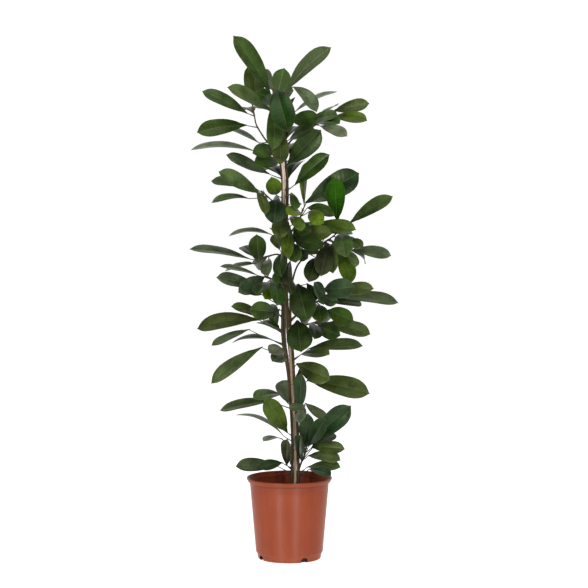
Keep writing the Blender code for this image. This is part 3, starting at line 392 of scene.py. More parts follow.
RIGHT_MIDDLE_BRANCH = {"radii": (0.34, 0.18), "path": (
    (0.35, 64, -0.7), (0.3, 69, -0.6), (0.35, 75, -0.5), (1.8, 81.4, -0.2), (4.1, 84.6, 0),
    (8.3, 88, 0), (12.2, 90.6, 0), (13.8, 92.4, 0),
), "leaves": (
    (13.4, 94.6, 12.5, 107.2, -4, 5.4, 0.03, "bright"),
    (14.4, 91.6, 15.8, 84.7, -14, 5.4, 0.1, "moss"),
    (13.5, 88.6, 17.2, 77.4, -9, 4.6, 0.06, "light"),
    (10.8, 88.8, 8.8, 79.4, -11, 5.2, 0.1, "dusk"),
    (12.2, 89, 12.2, 80.2, -13, 3.8, 0.1, "sage"),
    (16.4, 94, 28.8, 101.8, 1, 3.8, 0.03, "moss"),
    (17.5, 86.9, 28.4, 85.2, -3, 3.4, 0.05, "grey_sheen"),
    (14.8, 88.9, 19.7, 88.7, 14, 2, 0.08, "dark"),
    (16.4, 86.8, 21, 83, 10, 1.6, 0.2, "dark"),
    (15.6, 87.2, 18.6, 82, -11, 2.4, 0.08, "sage"),
    (9.2, 86.2, 12.2, 82, 7, 4, 0.1, "deep"),
    (16.2, 89.6, 20.4, 87.2, -10, 3, 0.1, "olive"),
    (10.2, 91.4, 17.6, 91.6, 10, 2.2, 0.06, "dark"),
    (7.7, 84.8, 5.4, 77.8, -13, 4.8, 0.1, "shadowed"),
    (2.4, 77.4, 4.9, 67, -12, 7.2, 0.08, "dark"),
    (4.8, 77.6, 7.4, 72.6, -12, 2.8, 0.08, "dark"),
)}
RIGHT_LOWER_BRANCH = {"radii": (0.3, 0.18), "path": (
    (0.1, 66.5, -0.75), (3, 69.5, -0.5), (7, 72, 0), (10.5, 73.8, 0),
), "leaves": (
    (9.6, 71.4, 6.8, 77.8, -12, 3, 0.06, "pine"),
    (9.4, 75.7, 18.2, 76.4, -12, 5.6, 0.06, "pine"),
    (12.4, 75, 23.6, 76, -6, 3.6, 0.05, "sage"),
    (12.6, 73.6, 30.5, 72, 0, 3.4, 0.04, "sage"),
    (9, 73.2, 13.6, 72.4, -6, 3.6, 0.1, "pine"),
    (8.6, 70.8, 11.4, 67.4, 8, 3.8, 0.1, "dark"),
    (10.8, 72.1, 20.2, 71.9, 9, 3.2, 0.06, "dark"),
    (10.6, 70, 18, 66.9, -12, 4.8, 0.08, "leafy"),
    (8.2, 71.6, 8.8, 66.6, -14, 4.6, 0.1, "leafy"),
    (7.4, 72.8, 9.6, 74.2, 16, 3, 0.1, "dark"),
)}
RIGHT_LOW_TWIG = {"radii": (0.26, 0.16), "path": (
    (0.5, 63, -0.7), (2.4, 64.6, -0.5), (4.6, 65.8, -0.1), (7.2, 66.6, 0.1),
), "leaves": (
    (9.4, 66.4, 22.7, 63.2, -4, 4.2, 0.05, "sage"),
    (7.8, 65.6, 14.3, 62.8, -12, 4.6, 0.06, "dark"),
    (6.4, 66, 7, 61.8, -14, 3.6, 0.1, "shadowed"),
    (7, 66.2, 10.6, 64.8, 15, 3, 0.1, "dark"),
)}
RIGHT_BASAL_TWIG = {"radii": (0.28, 0.17), "path": (
    (2.5, 24, -0.4), (3.1, 26.4, -0.3), (4, 28.6, 0), (4.5, 30.6, 0.2),
), "leaves": (
    (5.2, 32.5, 17.3, 43.1, -3, 6, 0.04, "deep"),
    (6, 31, 12.8, 35.2, 11, 3.4, 0.04, "dark"),
    (4.2, 31.8, 5.2, 41, -6, 4.2, 0.04, "pine"),
    (5.4, 31.6, 10.4, 39.4, -11, 4.2, 0.05, "deep"),
    (3.3, 27.6, 3.3, 34.8, -11, 2.6, 0.05, "shadowed"),
    (6.2, 31.2, 15.6, 30.8, -7, 3.4, 0.08, "olive"),
    (5, 28.9, 14.4, 27.6, -10, 3.2, 0.08, "sage"),
    (4.8, 31.4, 8.6, 34.6, 15, 3, 0.1, "dark"),
    (4, 30.8, 7, 37, 13, 3, 0.05, "dark"),
)}
LEFT_STEM = (LEFT_TRUNK, LEFT_SIDE_BRANCH, LEFT_TOP_TWIG, LEFT_UPPER_TWIG, LEFT_MIDDLE_TWIG,
             LEFT_LOWER_TWIG)
RIGHT_STEM = (RIGHT_TRUNK, RIGHT_TOP_TWIG, RIGHT_UPPER_TWIG, RIGHT_MIDDLE_BRANCH,
              RIGHT_LOWER_BRANCH, RIGHT_LOW_TWIG, RIGHT_BASAL_TWIG)

# The other shades, as screen colours from 0 to 255.
LEAF_AGED = (78, 84, 30)
LEAF_UNDER = (96, 108, 70)
LEAF_VEIN = (110, 128, 78)
LEAF_MARGIN = (92, 106, 52)
LEAF_RIB = (138, 150, 92)
LEAF_TIP = (96, 74, 48)
STALK_SHADE = (54, 56, 30)
STALK_PATCH = (58, 52, 32)
TWIG_SHADE = (60, 56, 30)
BARK_SHADE = (62, 48, 26)
BARK_STREAK = (86, 68, 40)
BARK_DARK = (42, 32, 18)
BARK_SPECK = (140, 120, 94)
BUD_SHADE = (104, 92, 52)
SHEATH_SHADE = (112, 74, 50)
CANE_SHADE = (226, 196, 168)
CANE_FIBRE = (243, 226, 206)
CANE_PATCH = (176, 130, 100)
CANE_FOOT = (188, 146, 98)
# Painted shade on the stretch of cane that the foliage shades.
CANE_PAINTED_SHADE = (92, 76, 46)
CANE_RING = (96, 66, 46)
PEAT_SHADE = (52, 38, 29)
PEAT_WET = (26, 19, 15)
CRUMB_SHADE = (86, 60, 42)
FIBRE_SHADE = (150, 120, 84)
POT_SHADE = (148, 68, 40)
POT_STREAK = (155, 73, 43)
POT_CLOUD = (140, 62, 36)
# The painted shade in the crease under the pot's lip, and the painted shadow in the band below it.
POT_PAINTED_SHADE = (114, 48, 24)
POT_DUST = (190, 160, 140)
# Painted shade: the near black that the drain notches' faces are painted.
NOTCH_PAINTED_SHADE = (12, 7, 5)

# The stage: a glowing white floor, surroundings that are white behind the plant and dimmer in front
# of it, lights (name, place, aim, size, power), narrow strips that show only as highlights on the
# pot, and the camera.
FLOOR_COLOUR = (0.95, 0.95, 0.95, 1)
FLOOR_GLOW = 0.75
FLOOR_RADIUS = 40.0
WHITE = (1, 1, 1, 1)
WORLD_BEHIND = 1.03
WORLD_IN_FRONT = 0.2
WORLD_TURN = (0.45, 0.95)
LIGHTS = (
    ("left_softbox", (-2.4, -4.2, 1.9), (0, 0, 0.7), (0.16, 2.4), 60),
    ("right_softbox", (1.7, -4.5, 1.9), (0, 0, 0.7), (0.16, 2.4), 44),
    ("top_softbox", (0, -0.4, 3.6), (0, 0, 0.6), (2.4, 2.4), 44),
)
HIGHLIGHT_STRIPS = (
    ("left_strip", (-2.4, -4.2, 0.5), (0, 0, 0.1), (0.13, 0.9), 105),
    ("right_strip", (1.75, -4.5, 0.5), (0, 0, 0.1), (0.12, 0.9), 125),
)
LENS = 154.2
SENSOR_WIDTH = 36.0
CAMERA_PLACE = (0.013, -7.0, 1.35)
CAMERA_AIM = (0.013, 0.0, 0.745)


def linear(colour):
    """A screen colour from 0 to 255 as linear light."""
    shares = [value / 255 for value in colour]
    return tuple(share / 12.92 if share <= 0.04045 else ((share + 0.055) / 1.055) ** 2.4
                 for share in shares)


def blended(one, other, share):
    """Two colours blended by a share of the second."""
    return tuple((1 - share) * a + share * b for a, b in zip(one, other))


def held(value, low, high):
    """The value, held between two bounds."""
    return min(high, max(low, value))


def swell(away, width):
    """A smooth swelling: 1 at its middle, and next to nothing two widths away from it."""
    return math.exp(-(away / width) ** 2)


def seen(x, height, depth):
    """The point at a depth that the eye sees at this place of the plane through the axis."""
    on_plane = Vector((x, 0.0, height))
    return EYE + (on_plane - EYE) * ((depth - EYE.y) / -EYE.y)


def curve(start, middle, end, share):
    """The point at a share of a curve from start to end, drawn towards the middle."""
    return start * (1 - share) ** 2 + middle * (2 * share * (1 - share)) + end * share ** 2


def smooth_path(corners, step):
    """Points along a smooth curve through the corners, about a step apart."""
    points = []
    last = len(corners) - 1
    for i in range(last):
        start, end = corners[i], corners[i + 1]
        before, after = corners[max(i - 1, 0)], corners[min(i + 2, last)]
        pieces = max(1, round((end - start).length / step))
        for k in range(pieces):
            t = k / pieces
            points.append(0.5 * (2 * start + (end - before) * t
                                 + (2 * before - 5 * start + 4 * end - after) * t * t
                                 + (3 * start - before - 3 * end + after) * t ** 3))
    points.append(corners[-1])
    return points


def lengths_along(path):
    """The length along a path up to each of its points."""
    lengths = [0.0]
    for start, end in zip(path, path[1:]):
        lengths.append(lengths[-1] + (end - start).length)
    return lengths


def tube_points(path, radii, sides):
    """The rings of points of a tube, with a radius for each point of its path."""
    points = []
    across = Vector((1, 0, 0))
    for i, centre in enumerate(path):
        along = (path[min(i + 1, len(path) - 1)] - path[max(i - 1, 0)]).normalized()
        across = (across - along * across.dot(along)).normalized()
        other = along.cross(across)
        for k in range(sides):
            turn = math.tau * k / sides
            points.append(centre + radii[i] * (across * math.cos(turn) + other * math.sin(turn)))
    return points


def tube_faces(rings, sides):
    """The faces of a closed tube of that many rings."""
    faces = [list(range(sides - 1, -1, -1))]
    for row in range(0, (rings - 1) * sides, sides):
        for k in range(sides):
            j = (k + 1) % sides
            faces.append([row + k, row + j, row + sides + j, row + sides + k])
    faces.append(list(range((rings - 1) * sides, rings * sides)))
    return faces


def shoot_path(shoot, step):
    """A shoot's wood as points, and the radius at each, with the bud's tip as the last."""
    path = smooth_path([seen(*place) for place in shoot["path"]], step)
    first, last = shoot["radii"]
    radii = [first + (last - first) * i / (len(path) - 1) for i in range(len(path))]
    path.append(path[-1] + (path[-1] - path[-2]).normalized() * BUD_LENGTH)
    radii.append(BUD_TIP)
    return path, radii


def find_root(path, base, taken):
    """The point of a shoot's path where a leaf grows: near the leaf's base and a little below it,
    at a distance along the path that no other leaf has taken."""
    lengths = lengths_along(path)
    nearest = (math.inf, 0.0)
    for length, start, end in zip(lengths, path, path[1:]):
        span = end - start
        share = held((base - start).dot(span) / span.length_squared, 0.0, 1.0)
        nearest = min(nearest, ((start + span * share - base).length, length + share * span.length))
    away, place = nearest
    place = min(place - 0.5 * away, lengths[-2] - ROOT_SPACING)
    while any(abs(place - other) < ROOT_SPACING for other in taken):
        place -= ROOT_SPACING
    place = max(place, ROOT_SPACING)
    taken.append(place)
    below = max(i for i, length in enumerate(lengths) if length < place)
    share = (place - lengths[below]) / (lengths[below + 1] - lengths[below])
    return path[below].lerp(path[below + 1], share)


def leaf_frame(leaf, root, turn):
    """A leaf's base, tip, width and upward normal, with its tip turned in depth by a little."""
    reach = leaf.reach + turn
    flat_root = EYE + (root - EYE) * (EYE.y / (EYE.y - root.y))
    to_base = math.hypot(leaf.base_x - flat_root.x, leaf.base_height - flat_root.z)
    to_tip = math.hypot(leaf.tip_x - flat_root.x, leaf.tip_height - flat_root.z)
    share = held(to_base / to_tip, *PETIOLE_SHARES)
    base = seen(leaf.base_x, leaf.base_height, root.y + reach * share)
    tip = seen(leaf.tip_x, leaf.tip_height, root.y + reach)
    width = held(max(BLADE_WIDTH_SHARE * (tip - base).length, abs(leaf.width)), *BLADE_WIDTHS)
    along = (tip - base).normalized()
    to_eye = (EYE - (base + tip) / 2).normalized()
    facing = (to_eye - along * to_eye.dot(along)).normalized()
    upward = along.cross(facing)
    if upward.z < 0:
        upward.negate()
    shown = held(leaf.width / width, -1.0, 1.0)
    normal = facing * shown + upward * math.sqrt(1 - shown * shown)
    return base, tip, width, normal.normalized()


def corner_tree(mesh):
    """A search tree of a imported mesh's corners."""
    tree = KDTree(len(mesh.vertices))
    for vertex in mesh.vertices:
        tree.insert(vertex.co / CM, vertex.index)
    tree.balance()
    return tree


def packed_turn(leaf, root, corners):
    """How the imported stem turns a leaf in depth: one of the stem's corners is at the tip then."""
    return min(TURNS, key=lambda turn: corners.find(leaf_frame(leaf, root, turn)[1])[2])


def place_leaves(shoot, corners):
    """A shoot's leaves, each with the point where it grows and how it is turned in depth."""
    path, _ = shoot_path(shoot, COARSE_STEP)
    leaves, taken = [], []
    for row in shoot["leaves"]:
        leaf = Leaf(*row)
        root = find_root(path, seen(leaf.base_x, leaf.base_height, path[-1].y), taken)
        leaves.append((leaf, root, packed_turn(leaf, root, corners)))
    return leaves


def add_object(name, data):
    """A new object in the scene."""
    thing = bpy.data.objects.new(name, data)
    bpy.context.scene.collection.objects.link(thing)
    return thing


def as_mesh(form, name):
    """The form as a new mesh."""
    mesh = bpy.data.meshes.new(name)
    form.to_mesh(mesh)
    form.free()
    return mesh


def smooth(mesh, sharp):
    """Smooths a mesh but for the edges sharper than this, in degrees."""
    mesh.shade_smooth()
    mesh.set_sharp_from_angle(angle=math.radians(sharp))


class Skin:
    """Points in cm, faces with their material number, and for each point a place and a shade."""

    def __init__(self):
        self.points, self.faces, self.places, self.shades = [], [], [], []

    def add(self, points, faces, places, shades, material=0):
        """Adds a closed form. Places and shades are one for each point, or one for all."""
        first = len(self.points)
        self.points += points
        self.faces += [([first + i for i in face], material) for face in faces]
        self.places += places if isinstance(places, list) else [places] * len(points)
        self.shades += shades if isinstance(shades, list) else [shades] * len(points)

    def make(self, name, materials, sharp=50):
        """Makes the object, with its materials, smooth but for its sharp edges."""
        mesh = bpy.data.meshes.new(name)
        mesh.from_pydata([tuple(point * CM) for point in self.points], [],
                         [face for face, _ in self.faces])
        mesh.polygons.foreach_set("material_index", [number for _, number in self.faces])
        for material in materials:
            mesh.materials.append(material)
        place = mesh.attributes.new("place", "FLOAT_VECTOR", "POINT")
        place.data.foreach_set("vector", [value for item in self.places for value in item])
        shade = mesh.color_attributes.new("shade", "FLOAT_COLOR", "POINT")
        shade.data.foreach_set("color", [value for item in self.shades for value in (*item, 1.0)])
        form = bmesh.new()
        form.from_mesh(mesh)
        bmesh.ops.recalc_face_normals(form, faces=form.faces)
        form.to_mesh(mesh)
        form.free()
        smooth(mesh, sharp)
        return add_object(name, mesh)


def drawn_shade(name, draw):
    """A leaf's shade as linear light, a little lighter or darker than its name says."""
    change = 1 + draw.uniform(-SHADE_DRAW, SHADE_DRAW)
    warmer = 1 + draw.uniform(-WARMTH_DRAW, WARMTH_DRAW)
    red, green, blue = linear(SHADES[name])
    return (red * change * warmer, green * change, blue * change / warmer)


def add_leaf(skin, leaf, root, turn, draw):
    """Adds one fine leaf: its petiole, its upper face and its underside."""
    base, tip, width, normal = leaf_frame(leaf, root, turn)
    sideways = (tip - base).cross(normal).normalized()
    middle = (base + tip) / 2 + normal * (2 * leaf.arch * (tip - base).length)
    shade = drawn_shade(leaf.shade, draw)
    chance, phase, waves = draw.random(), draw.uniform(0, math.tau), draw.uniform(*MARGIN_WAVES)
    bulge = draw.uniform(*HALF_BULGES)
    count = len(ACROSS)
    upper, lower, places = [], [], []
    for share, outline in OUTLINE:
        centre = curve(base, middle, tip, share)
        tangent = (middle - base) * (1 - share) + (tip - middle) * share
        upward = sideways.cross(tangent).normalized()
        half = outline * width / 2
        for u in ACROSS:
            rise = half * (BLADE_FOLD * abs(u) ** FOLD_CURVE + bulge * math.sin(math.pi * abs(u)))
            side = 1 if u > 0 else -1
            rise += MARGIN_WAVE * math.sin(waves * share + phase + side) * u * u * outline
            surface = centre + sideways * (half * u) + upward * rise
            crease = swell(u * half, RIB_WIDTH)
            thick = EDGE_THICK / 2 * min(1, 0.35 + half)
            upper.append(surface + upward * (thick - RIB_GROOVE * crease))
            lower.append(surface - upward * (thick + RIB_RIDGE * crease * (1.2 - share)))
            places.append((u, share, chance))
    total = len(upper)
    grid = [(first, first + 1, first + count + 1, first + count)
            for row in range(0, total - count, count) for first in range(row, row + count - 1)]
    face = YOUNG if leaf.shade == "bright" else UPPER
    skin.add(upper + lower, grid, places + places, shade, face)
    start = len(skin.points) - 2 * total
    skin.faces += [([start + total + i for i in reversed(corners)], UNDER) for corners in grid]
    edge = [*range(0, total, count), *range(total - count + 1, total),
            *range(total - count - 1, 0, -count), *range(count - 2, 0, -1)]
    for one, other in zip(edge, edge[1:] + edge[:1]):
        skin.faces.append(([start + one, start + other, start + total + other,
                            start + total + one], face))
    add_petiole(skin, root, base, middle, shade)


def add_petiole(skin, root, base, middle, shade):
    """Adds a leaf's petiole, bent gently from the wood into the blade's midrib."""
    end = base + (middle - base).normalized() * PETIOLE_INTO_BLADE
    low = (root + base) / 2 - Vector((0, 0, PETIOLE_SAG * (base - root).length))
    leafy = [0.8 * value + 0.008 for value in shade]
    foot, neck = PETIOLE_TAPER
    path, radii, shades, places = [], [], [], []
    for k in range(PETIOLE_RINGS + 1):
        t = k / PETIOLE_RINGS
        path.append(curve(root, low, end, t))
        radii.append(PETIOLE_HALF * (foot + (neck - foot) * t) * (1 if k else PETIOLE_ROOT))
        shades += [blended(linear(STALK_SHADE), leafy, t)] * PETIOLE_SIDES
        places += [(0.0, t, 0.5)] * PETIOLE_SIDES
    skin.add(tube_points(path, radii, PETIOLE_SIDES), tube_faces(len(path), PETIOLE_SIDES),
             places, shades, PETIOLE)


def full_radius(shoot, height, length, radius, nodes, end):
    """A shoot's radius with its thicker stretch and a swelling at each node, up to its end."""
    node = min(1.0, sum(swell(length - place, NODE_WIDTH) for place in nodes))
    middle, reach, rise = shoot.get("thick", (0.0, 1.0, 0.0))
    return radius + NODE_RISE * node * held(end - length, 0.0, 1.0) + rise * swell(height - middle, reach)


def add_wood(skin, shoot, roots):
    """Adds a shoot's wood, with rough bark and a swelling under each leaf, and its bud."""
    path, radii = shoot_path(shoot, WOOD_STEP)
    lengths = lengths_along(path)
    nodes = []
    for root in roots:
        nearest = min(range(len(path)), key=lambda i: (path[i] - root).length)
        nodes.append(lengths[nearest])
    full = [full_radius(shoot, point.z, length, radius, nodes, lengths[-2])
            for point, length, radius in zip(path, lengths, radii)]
    bud = len(path) - 1
    start, tip, radius = path[-2], path[-1], radii[-2]
    path[bud:bud] = [start.lerp(tip, share) for share, _ in BUD_SHAPE]
    full[bud:bud] = [radius * size for _, size in BUD_SHAPE]
    lengths[bud:bud] = [lengths[-2] + share * BUD_LENGTH for share, _ in BUD_SHAPE]
    points = tube_points(path, full, WOOD_SIDES)
    shades, places = [], []
    for i, (centre, length) in enumerate(zip(path, lengths)):
        young = held((OLD_RADIUS - full[i]) / (OLD_RADIUS - YOUNG_RADIUS), 0.0, 1.0)
        tone = blended(linear(BARK_SHADE), linear(TWIG_SHADE), young) if i < bud else linear(BUD_SHADE)
        for k in range(WOOD_SIDES):
            at = i * WOOD_SIDES + k
            rough = sum(noise.noise(points[at] * often) * rise for often, rise in BARK_ROUGHNESS)
            points[at] = points[at] + (points[at] - centre).normalized() * rough
            shades.append(tone)
            places.append((k / WOOD_SIDES, length, 0.5))
    skin.add(points, tube_faces(len(path), WOOD_SIDES), places, shades)
    add_sheaths(skin, path[bud - 1], (tip - start).normalized(), radius)


def add_sheaths(skin, foot, along, radius):
    """Adds the brown papery sheaths that stand round a shoot's bud, each shorter than the last."""
    side = along.orthogonal().normalized()
    other = along.cross(side)
    for index in range(SHEATH_COUNT):
        angle = math.tau * index / SHEATH_COUNT + SHEATH_TURN
        outward = side * math.cos(angle) + other * math.sin(angle)
        across = along.cross(outward)
        length = SHEATH_LENGTH * (1 - SHEATH_SHORTER * index)
        points = []
        for share, half, lean in SHEATH_SHAPE:
            centre = foot + along * (share * length - SHEATH_BELOW) + outward * (radius * 0.9 + lean)
            edge = centre - outward * SHEATH_CURL
            points += [edge - across * half, centre + outward * SHEATH_THICK,
                       edge + across * half, centre]
        skin.add(points, tube_faces(len(SHEATH_SHAPE), 4), (0.5, 0.5, index / SHEATH_COUNT),
                 linear(SHEATH_SHADE))


def make_stem(frame, name, stem, leaf_materials, bark):
    """The fine wood and the fine leaves of one stem, which stand for its solid."""
    draw = random.Random(name)
    corners = corner_tree(frame["nodes"][name].data)
    wood, foliage = Skin(), Skin()
    for shoot in stem:
        leaves = place_leaves(shoot, corners)
        add_wood(wood, shoot, [root for _, root, _ in leaves])
        for leaf, root, turn in leaves:
            add_leaf(foliage, leaf, root, turn, draw)
    for piece in (wood.make(name.replace("stem", "wood"), [bark]),
                  foliage.make(name.replace("stem", "leaves"), leaf_materials, 40)):
        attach(piece, "root")
        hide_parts(name)


def make_cane(material):
    """The bamboo cane, with a raised ring at each joint."""
    path = smooth_path([seen(*place) for place in CANE_PATH], CANE_STEP)
    radii, places = [], []
    for point in path:
        from_joints = [point.z - joint for joint in CANE_JOINTS]
        rise = sum(swell(away, CANE_JOINT_WIDTH) for away in from_joints)
        pinch = sum(swell(away - CANE_PINCH_ABOVE, CANE_PINCH_WIDTH) for away in from_joints)
        radii.append(CANE_RADIUS * (CANE_SHARE - CANE_TAPER * (point.z - SOIL_TOP))
                     + CANE_JOINT_RISE * rise - CANE_PINCH * pinch)
        places += [(0.0, min(from_joints, key=abs) / 10, 0.5)] * CANE_SIDES
    radii[-1] -= CANE_END_ROUND
    skin = Skin()
    skin.add(tube_points(path, radii, CANE_SIDES), tube_faces(len(path), CANE_SIDES), places,
             (0.5, 0.5, 0.5))
    cane = skin.make("bamboo_cane", [material])
    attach(cane, "root")
    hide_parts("cane")


def turned(name, outline, sides):
    """Turns an outline of (radius, height) points about the axis into a closed solid."""
    form = bmesh.new()
    points = [form.verts.new((radius * CM, 0, height * CM)) for radius, height in outline]
    edges = [form.edges.new(pair) for pair in zip(points, points[1:])]
    bmesh.ops.spin(form, geom=points + edges, cent=(0, 0, 0), axis=(0, 0, 1),
                   angle=math.tau, steps=sides, use_merge=True)
    bmesh.ops.remove_doubles(form, verts=form.verts, dist=1e-6)
    bmesh.ops.recalc_face_normals(form, faces=form.faces)
    return add_object(name, as_mesh(form, name))


def round_corners(outline, reach, steps):
    """The outline with each inner corner rounded over a reach, in that many steps."""
    outline = [Vector(point) for point in outline]
    points = [outline[0]]
    for before, corner, after in zip(outline, outline[1:], outline[2:]):
        size = min(reach, 0.4 * (before - corner).length, 0.4 * (after - corner).length)
        start = corner + (before - corner).normalized() * size
        end = corner + (after - corner).normalized() * size
        points += [curve(start, corner, end, k / steps) for k in range(steps + 1)]
    points.append(outline[-1])
    return points


def pot_outline():
    """The pot's section: its narrower foot, tapered wall with a faint mould line, rolled lip."""
    foot, wall_foot, wall_top, rim = FOOT_RADIUS, WALL_FOOT_RADIUS, WALL_TOP_RADIUS, RIM_RADIUS
    foot_top, line_foot = FOOT_HEIGHT + FOOT_STEP / 2, MOULD_LINE_HEIGHT
    lip_foot, top = POT_HEIGHT - LIP_HEIGHT, POT_HEIGHT
    slope = (wall_top - wall_foot) / (lip_foot - foot_top)
    line = wall_foot + slope * (line_foot - foot_top)
    outside = [
        (0, MOULD_LINE_DEPTH), (foot - FOOT_STEP, MOULD_LINE_DEPTH), (foot - FOOT_EDGE, 0), (foot, 0),
        (foot + FOOT_EDGE, FOOT_EDGE), (wall_foot - FOOT_STEP, FOOT_HEIGHT - FOOT_STEP / 3),
        (wall_foot, foot_top), (line, line_foot), (line - MOULD_LINE_DEPTH, line_foot + MOULD_LINE_DEPTH),
        (line - MOULD_LINE_DEPTH, line_foot + MOULD_LINE_WIDTH),
        (line + slope * MOULD_LINE_WIDTH, line_foot + 1.4 * MOULD_LINE_WIDTH), (wall_top, lip_foot),
        (wall_top + LIP_STEP, lip_foot + LIP_STEP / 3), (rim - LIP_ROUND / 3, top - 2 * LIP_ROUND),
        (rim, top - LIP_ROUND), (rim - LIP_ROUND / 4, top - LIP_ROUND / 4),
        (rim - LIP_ROUND * 3 / 4, top)]
    inside = [
        (rim - LIP_ROUND * 5 / 4, top - LIP_ROUND / 4), (wall_top + LIP_STEP - WALL, lip_foot + LIP_STEP),
        (wall_top - WALL, lip_foot - WALL / 2), (wall_foot - WALL, foot_top + WALL / 3),
        (wall_foot - FOOT_STEP - WALL, FOOT_HEIGHT - FOOT_STEP / 3), (foot - WALL / 3, FLOOR), (0, FLOOR)]
    return round_corners(outside + inside, CORNER_ROUND, CORNER_STEPS)


def make_pot(materials):
    """The pot, with its drain notches cut out and their faces painted near black as painted shade."""
    pot = turned("nursery_pot", pot_outline(), POT_SIDES)
    for material in materials:
        pot.data.materials.append(material)
    group = bpy.data.collections.new("notches")
    bpy.context.scene.collection.children.link(group)
    cutters = [notch_cutter(index, materials) for index in range(NOTCH_COUNT)]
    for cutter in cutters:
        group.objects.link(cutter)
    step = pot.modifiers.new("notches", "BOOLEAN")
    step.operation = "DIFFERENCE"
    step.operand_type = "COLLECTION"
    step.collection = group
    step.solver = "EXACT"
    bpy.context.view_layer.update()
    graph = bpy.context.evaluated_depsgraph_get()
    mesh = bpy.data.meshes.new_from_object(pot.evaluated_get(graph))
    pot.modifiers.clear()
    pot.data = mesh
    for cutter in cutters:
        bpy.data.objects.remove(cutter, do_unlink=True)
    bpy.data.collections.remove(group)
    smooth(mesh, 40)
    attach(pot, "root")
    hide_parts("pot")


def notch_cutter(index, materials):
    """A low arch that cuts one drain notch out of the foot from below."""
    half = NOTCH_WIDTH / 2
    shape = [(half, -NOTCH_BELOW)]
    for k in range(NOTCH_STEPS + 1):
        angle = math.pi / 2 * k / NOTCH_STEPS
        shape.append((half * math.cos(angle) ** NOTCH_SHOULDER,
                      NOTCH_HEIGHT * (0.5 + 0.5 * math.sin(angle))))
    shape += [(-side, up) for side, up in reversed(shape[:-1])]
    turn = NOTCH_FIRST_ANGLE + math.tau * index / NOTCH_COUNT
    outward = Vector((math.sin(turn), -math.cos(turn), 0))
    across = Vector((math.cos(turn), math.sin(turn), 0))
    points = [outward * radius + across * side + Vector((0, 0, up))
              for radius in (NOTCH_INNER_RADIUS, WALL_FOOT_RADIUS + 1) for side, up in shape]
    skin = Skin()
    skin.add(points, tube_faces(2, len(shape)), (0, 0, 0), (1, 1, 1), 1)
    return skin.make(f"notch_{index}", materials)


def wall_radius(height):
    """The pot wall's outer radius at a height."""
    share = (height - FOOT_HEIGHT) / (POT_HEIGHT - LIP_HEIGHT - FOOT_HEIGHT)
    return WALL_FOOT_RADIUS + (WALL_TOP_RADIUS - WALL_FOOT_RADIUS) * share


def soil_height(x, y):
    """The height of the peat at a place, rolling and grainy."""
    return sum((noise.noise(Vector((x * often, y * often, start))) * rise
                for often, start, rise in SOIL_UNEVEN), SOIL_TOP)


def make_soil(material):
    """The peat: a plug with an uneven top, and crumbs and bits of fibre lying on it."""
    reach = wall_radius(SOIL_TOP) - WALL - SOIL_GAP
    rings = round(reach / SOIL_RING_STEP)
    circles = [(reach * ring / rings, None) for ring in range(1, rings + 1)]
    # Under its surface the plug keeps clear of the pot's wall, foot and floor.
    circles += [(reach - 0.1, SOIL_TOP - 3), (WALL_FOOT_RADIUS - 0.25, FOOT_HEIGHT + 0.4),
                (WALL_FOOT_RADIUS - 0.65, FOOT_HEIGHT), (FOOT_RADIUS - 0.4, FLOOR + 0.04)]
    points = [Vector((0, 0, soil_height(0, 0)))]
    for radius, height in circles:
        for k in range(SOIL_SIDES):
            angle = math.tau * k / SOIL_SIDES
            x, y = radius * math.cos(angle), radius * math.sin(angle)
            points.append(Vector((x, y, soil_height(x, y) if height is None else height)))
    faces = [(0, 1 + k, 1 + (k + 1) % SOIL_SIDES) for k in range(SOIL_SIDES)]
    last = 1 + (len(circles) - 1) * SOIL_SIDES
    for row in range(1, last, SOIL_SIDES):
        for k in range(SOIL_SIDES):
            j = (k + 1) % SOIL_SIDES
            faces.append((row + k, row + SOIL_SIDES + k, row + SOIL_SIDES + j, row + j))
    faces.append(list(range(last, last + SOIL_SIDES)))
    skin = Skin()
    skin.add(points, faces, (0.5, 0.5, 0.5), linear(PEAT_SHADE))
    add_crumbs(skin, reach)
    soil = skin.make("peat", [material])
    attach(soil, "root")
    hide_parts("soil")


def add_crumbs(skin, reach):
    """Adds crumbs of peat, bark and a few pale bits of fibre, strewn over the surface."""
    draw = random.Random(11)
    form = bmesh.new()
    bmesh.ops.create_icosphere(form, subdivisions=1, radius=1.0)
    ball = [vertex.co.copy() for vertex in form.verts]
    faces = [[vertex.index for vertex in face.verts] for face in form.faces]
    form.free()
    low, high = CRUMB_SIZES
    for _ in range(CRUMB_COUNT):
        angle = draw.uniform(0, math.tau)
        radius = (reach - CRUMB_TO_WALL) * math.sqrt(draw.random())
        x, y = radius * math.cos(angle), radius * math.sin(angle)
        size = low + (high - low) * draw.random() ** 3
        long, flat = draw.uniform(*CRUMB_LENGTHS), draw.uniform(*CRUMB_HEIGHTS)
        spin = Matrix.Rotation(draw.uniform(0, math.tau), 3, "Z")
        kind = draw.random()
        shade = CRUMB_SHADE if kind > 1 - PALE_CRUMB_SHARE else PEAT_SHADE
        if kind > 1 - FIBRE_SHARE:
            shade, size, (long, flat) = FIBRE_SHADE, min(size, FIBRE_WIDTH), FIBRE_STRETCH
        tone = tuple(value * draw.uniform(*CRUMB_TONES) for value in linear(shade))
        centre = Vector((x, y, soil_height(x, y) + size * flat * 0.25))
        points = []
        for corner in ball:
            bumpy = corner * (size * draw.uniform(*CRUMB_BUMPS))
            points.append(centre + spin @ Vector((bumpy.x * long, bumpy.y, bumpy.z * flat)))
        skin.add(points, faces, (0.5, 0.5, draw.random()), tone)


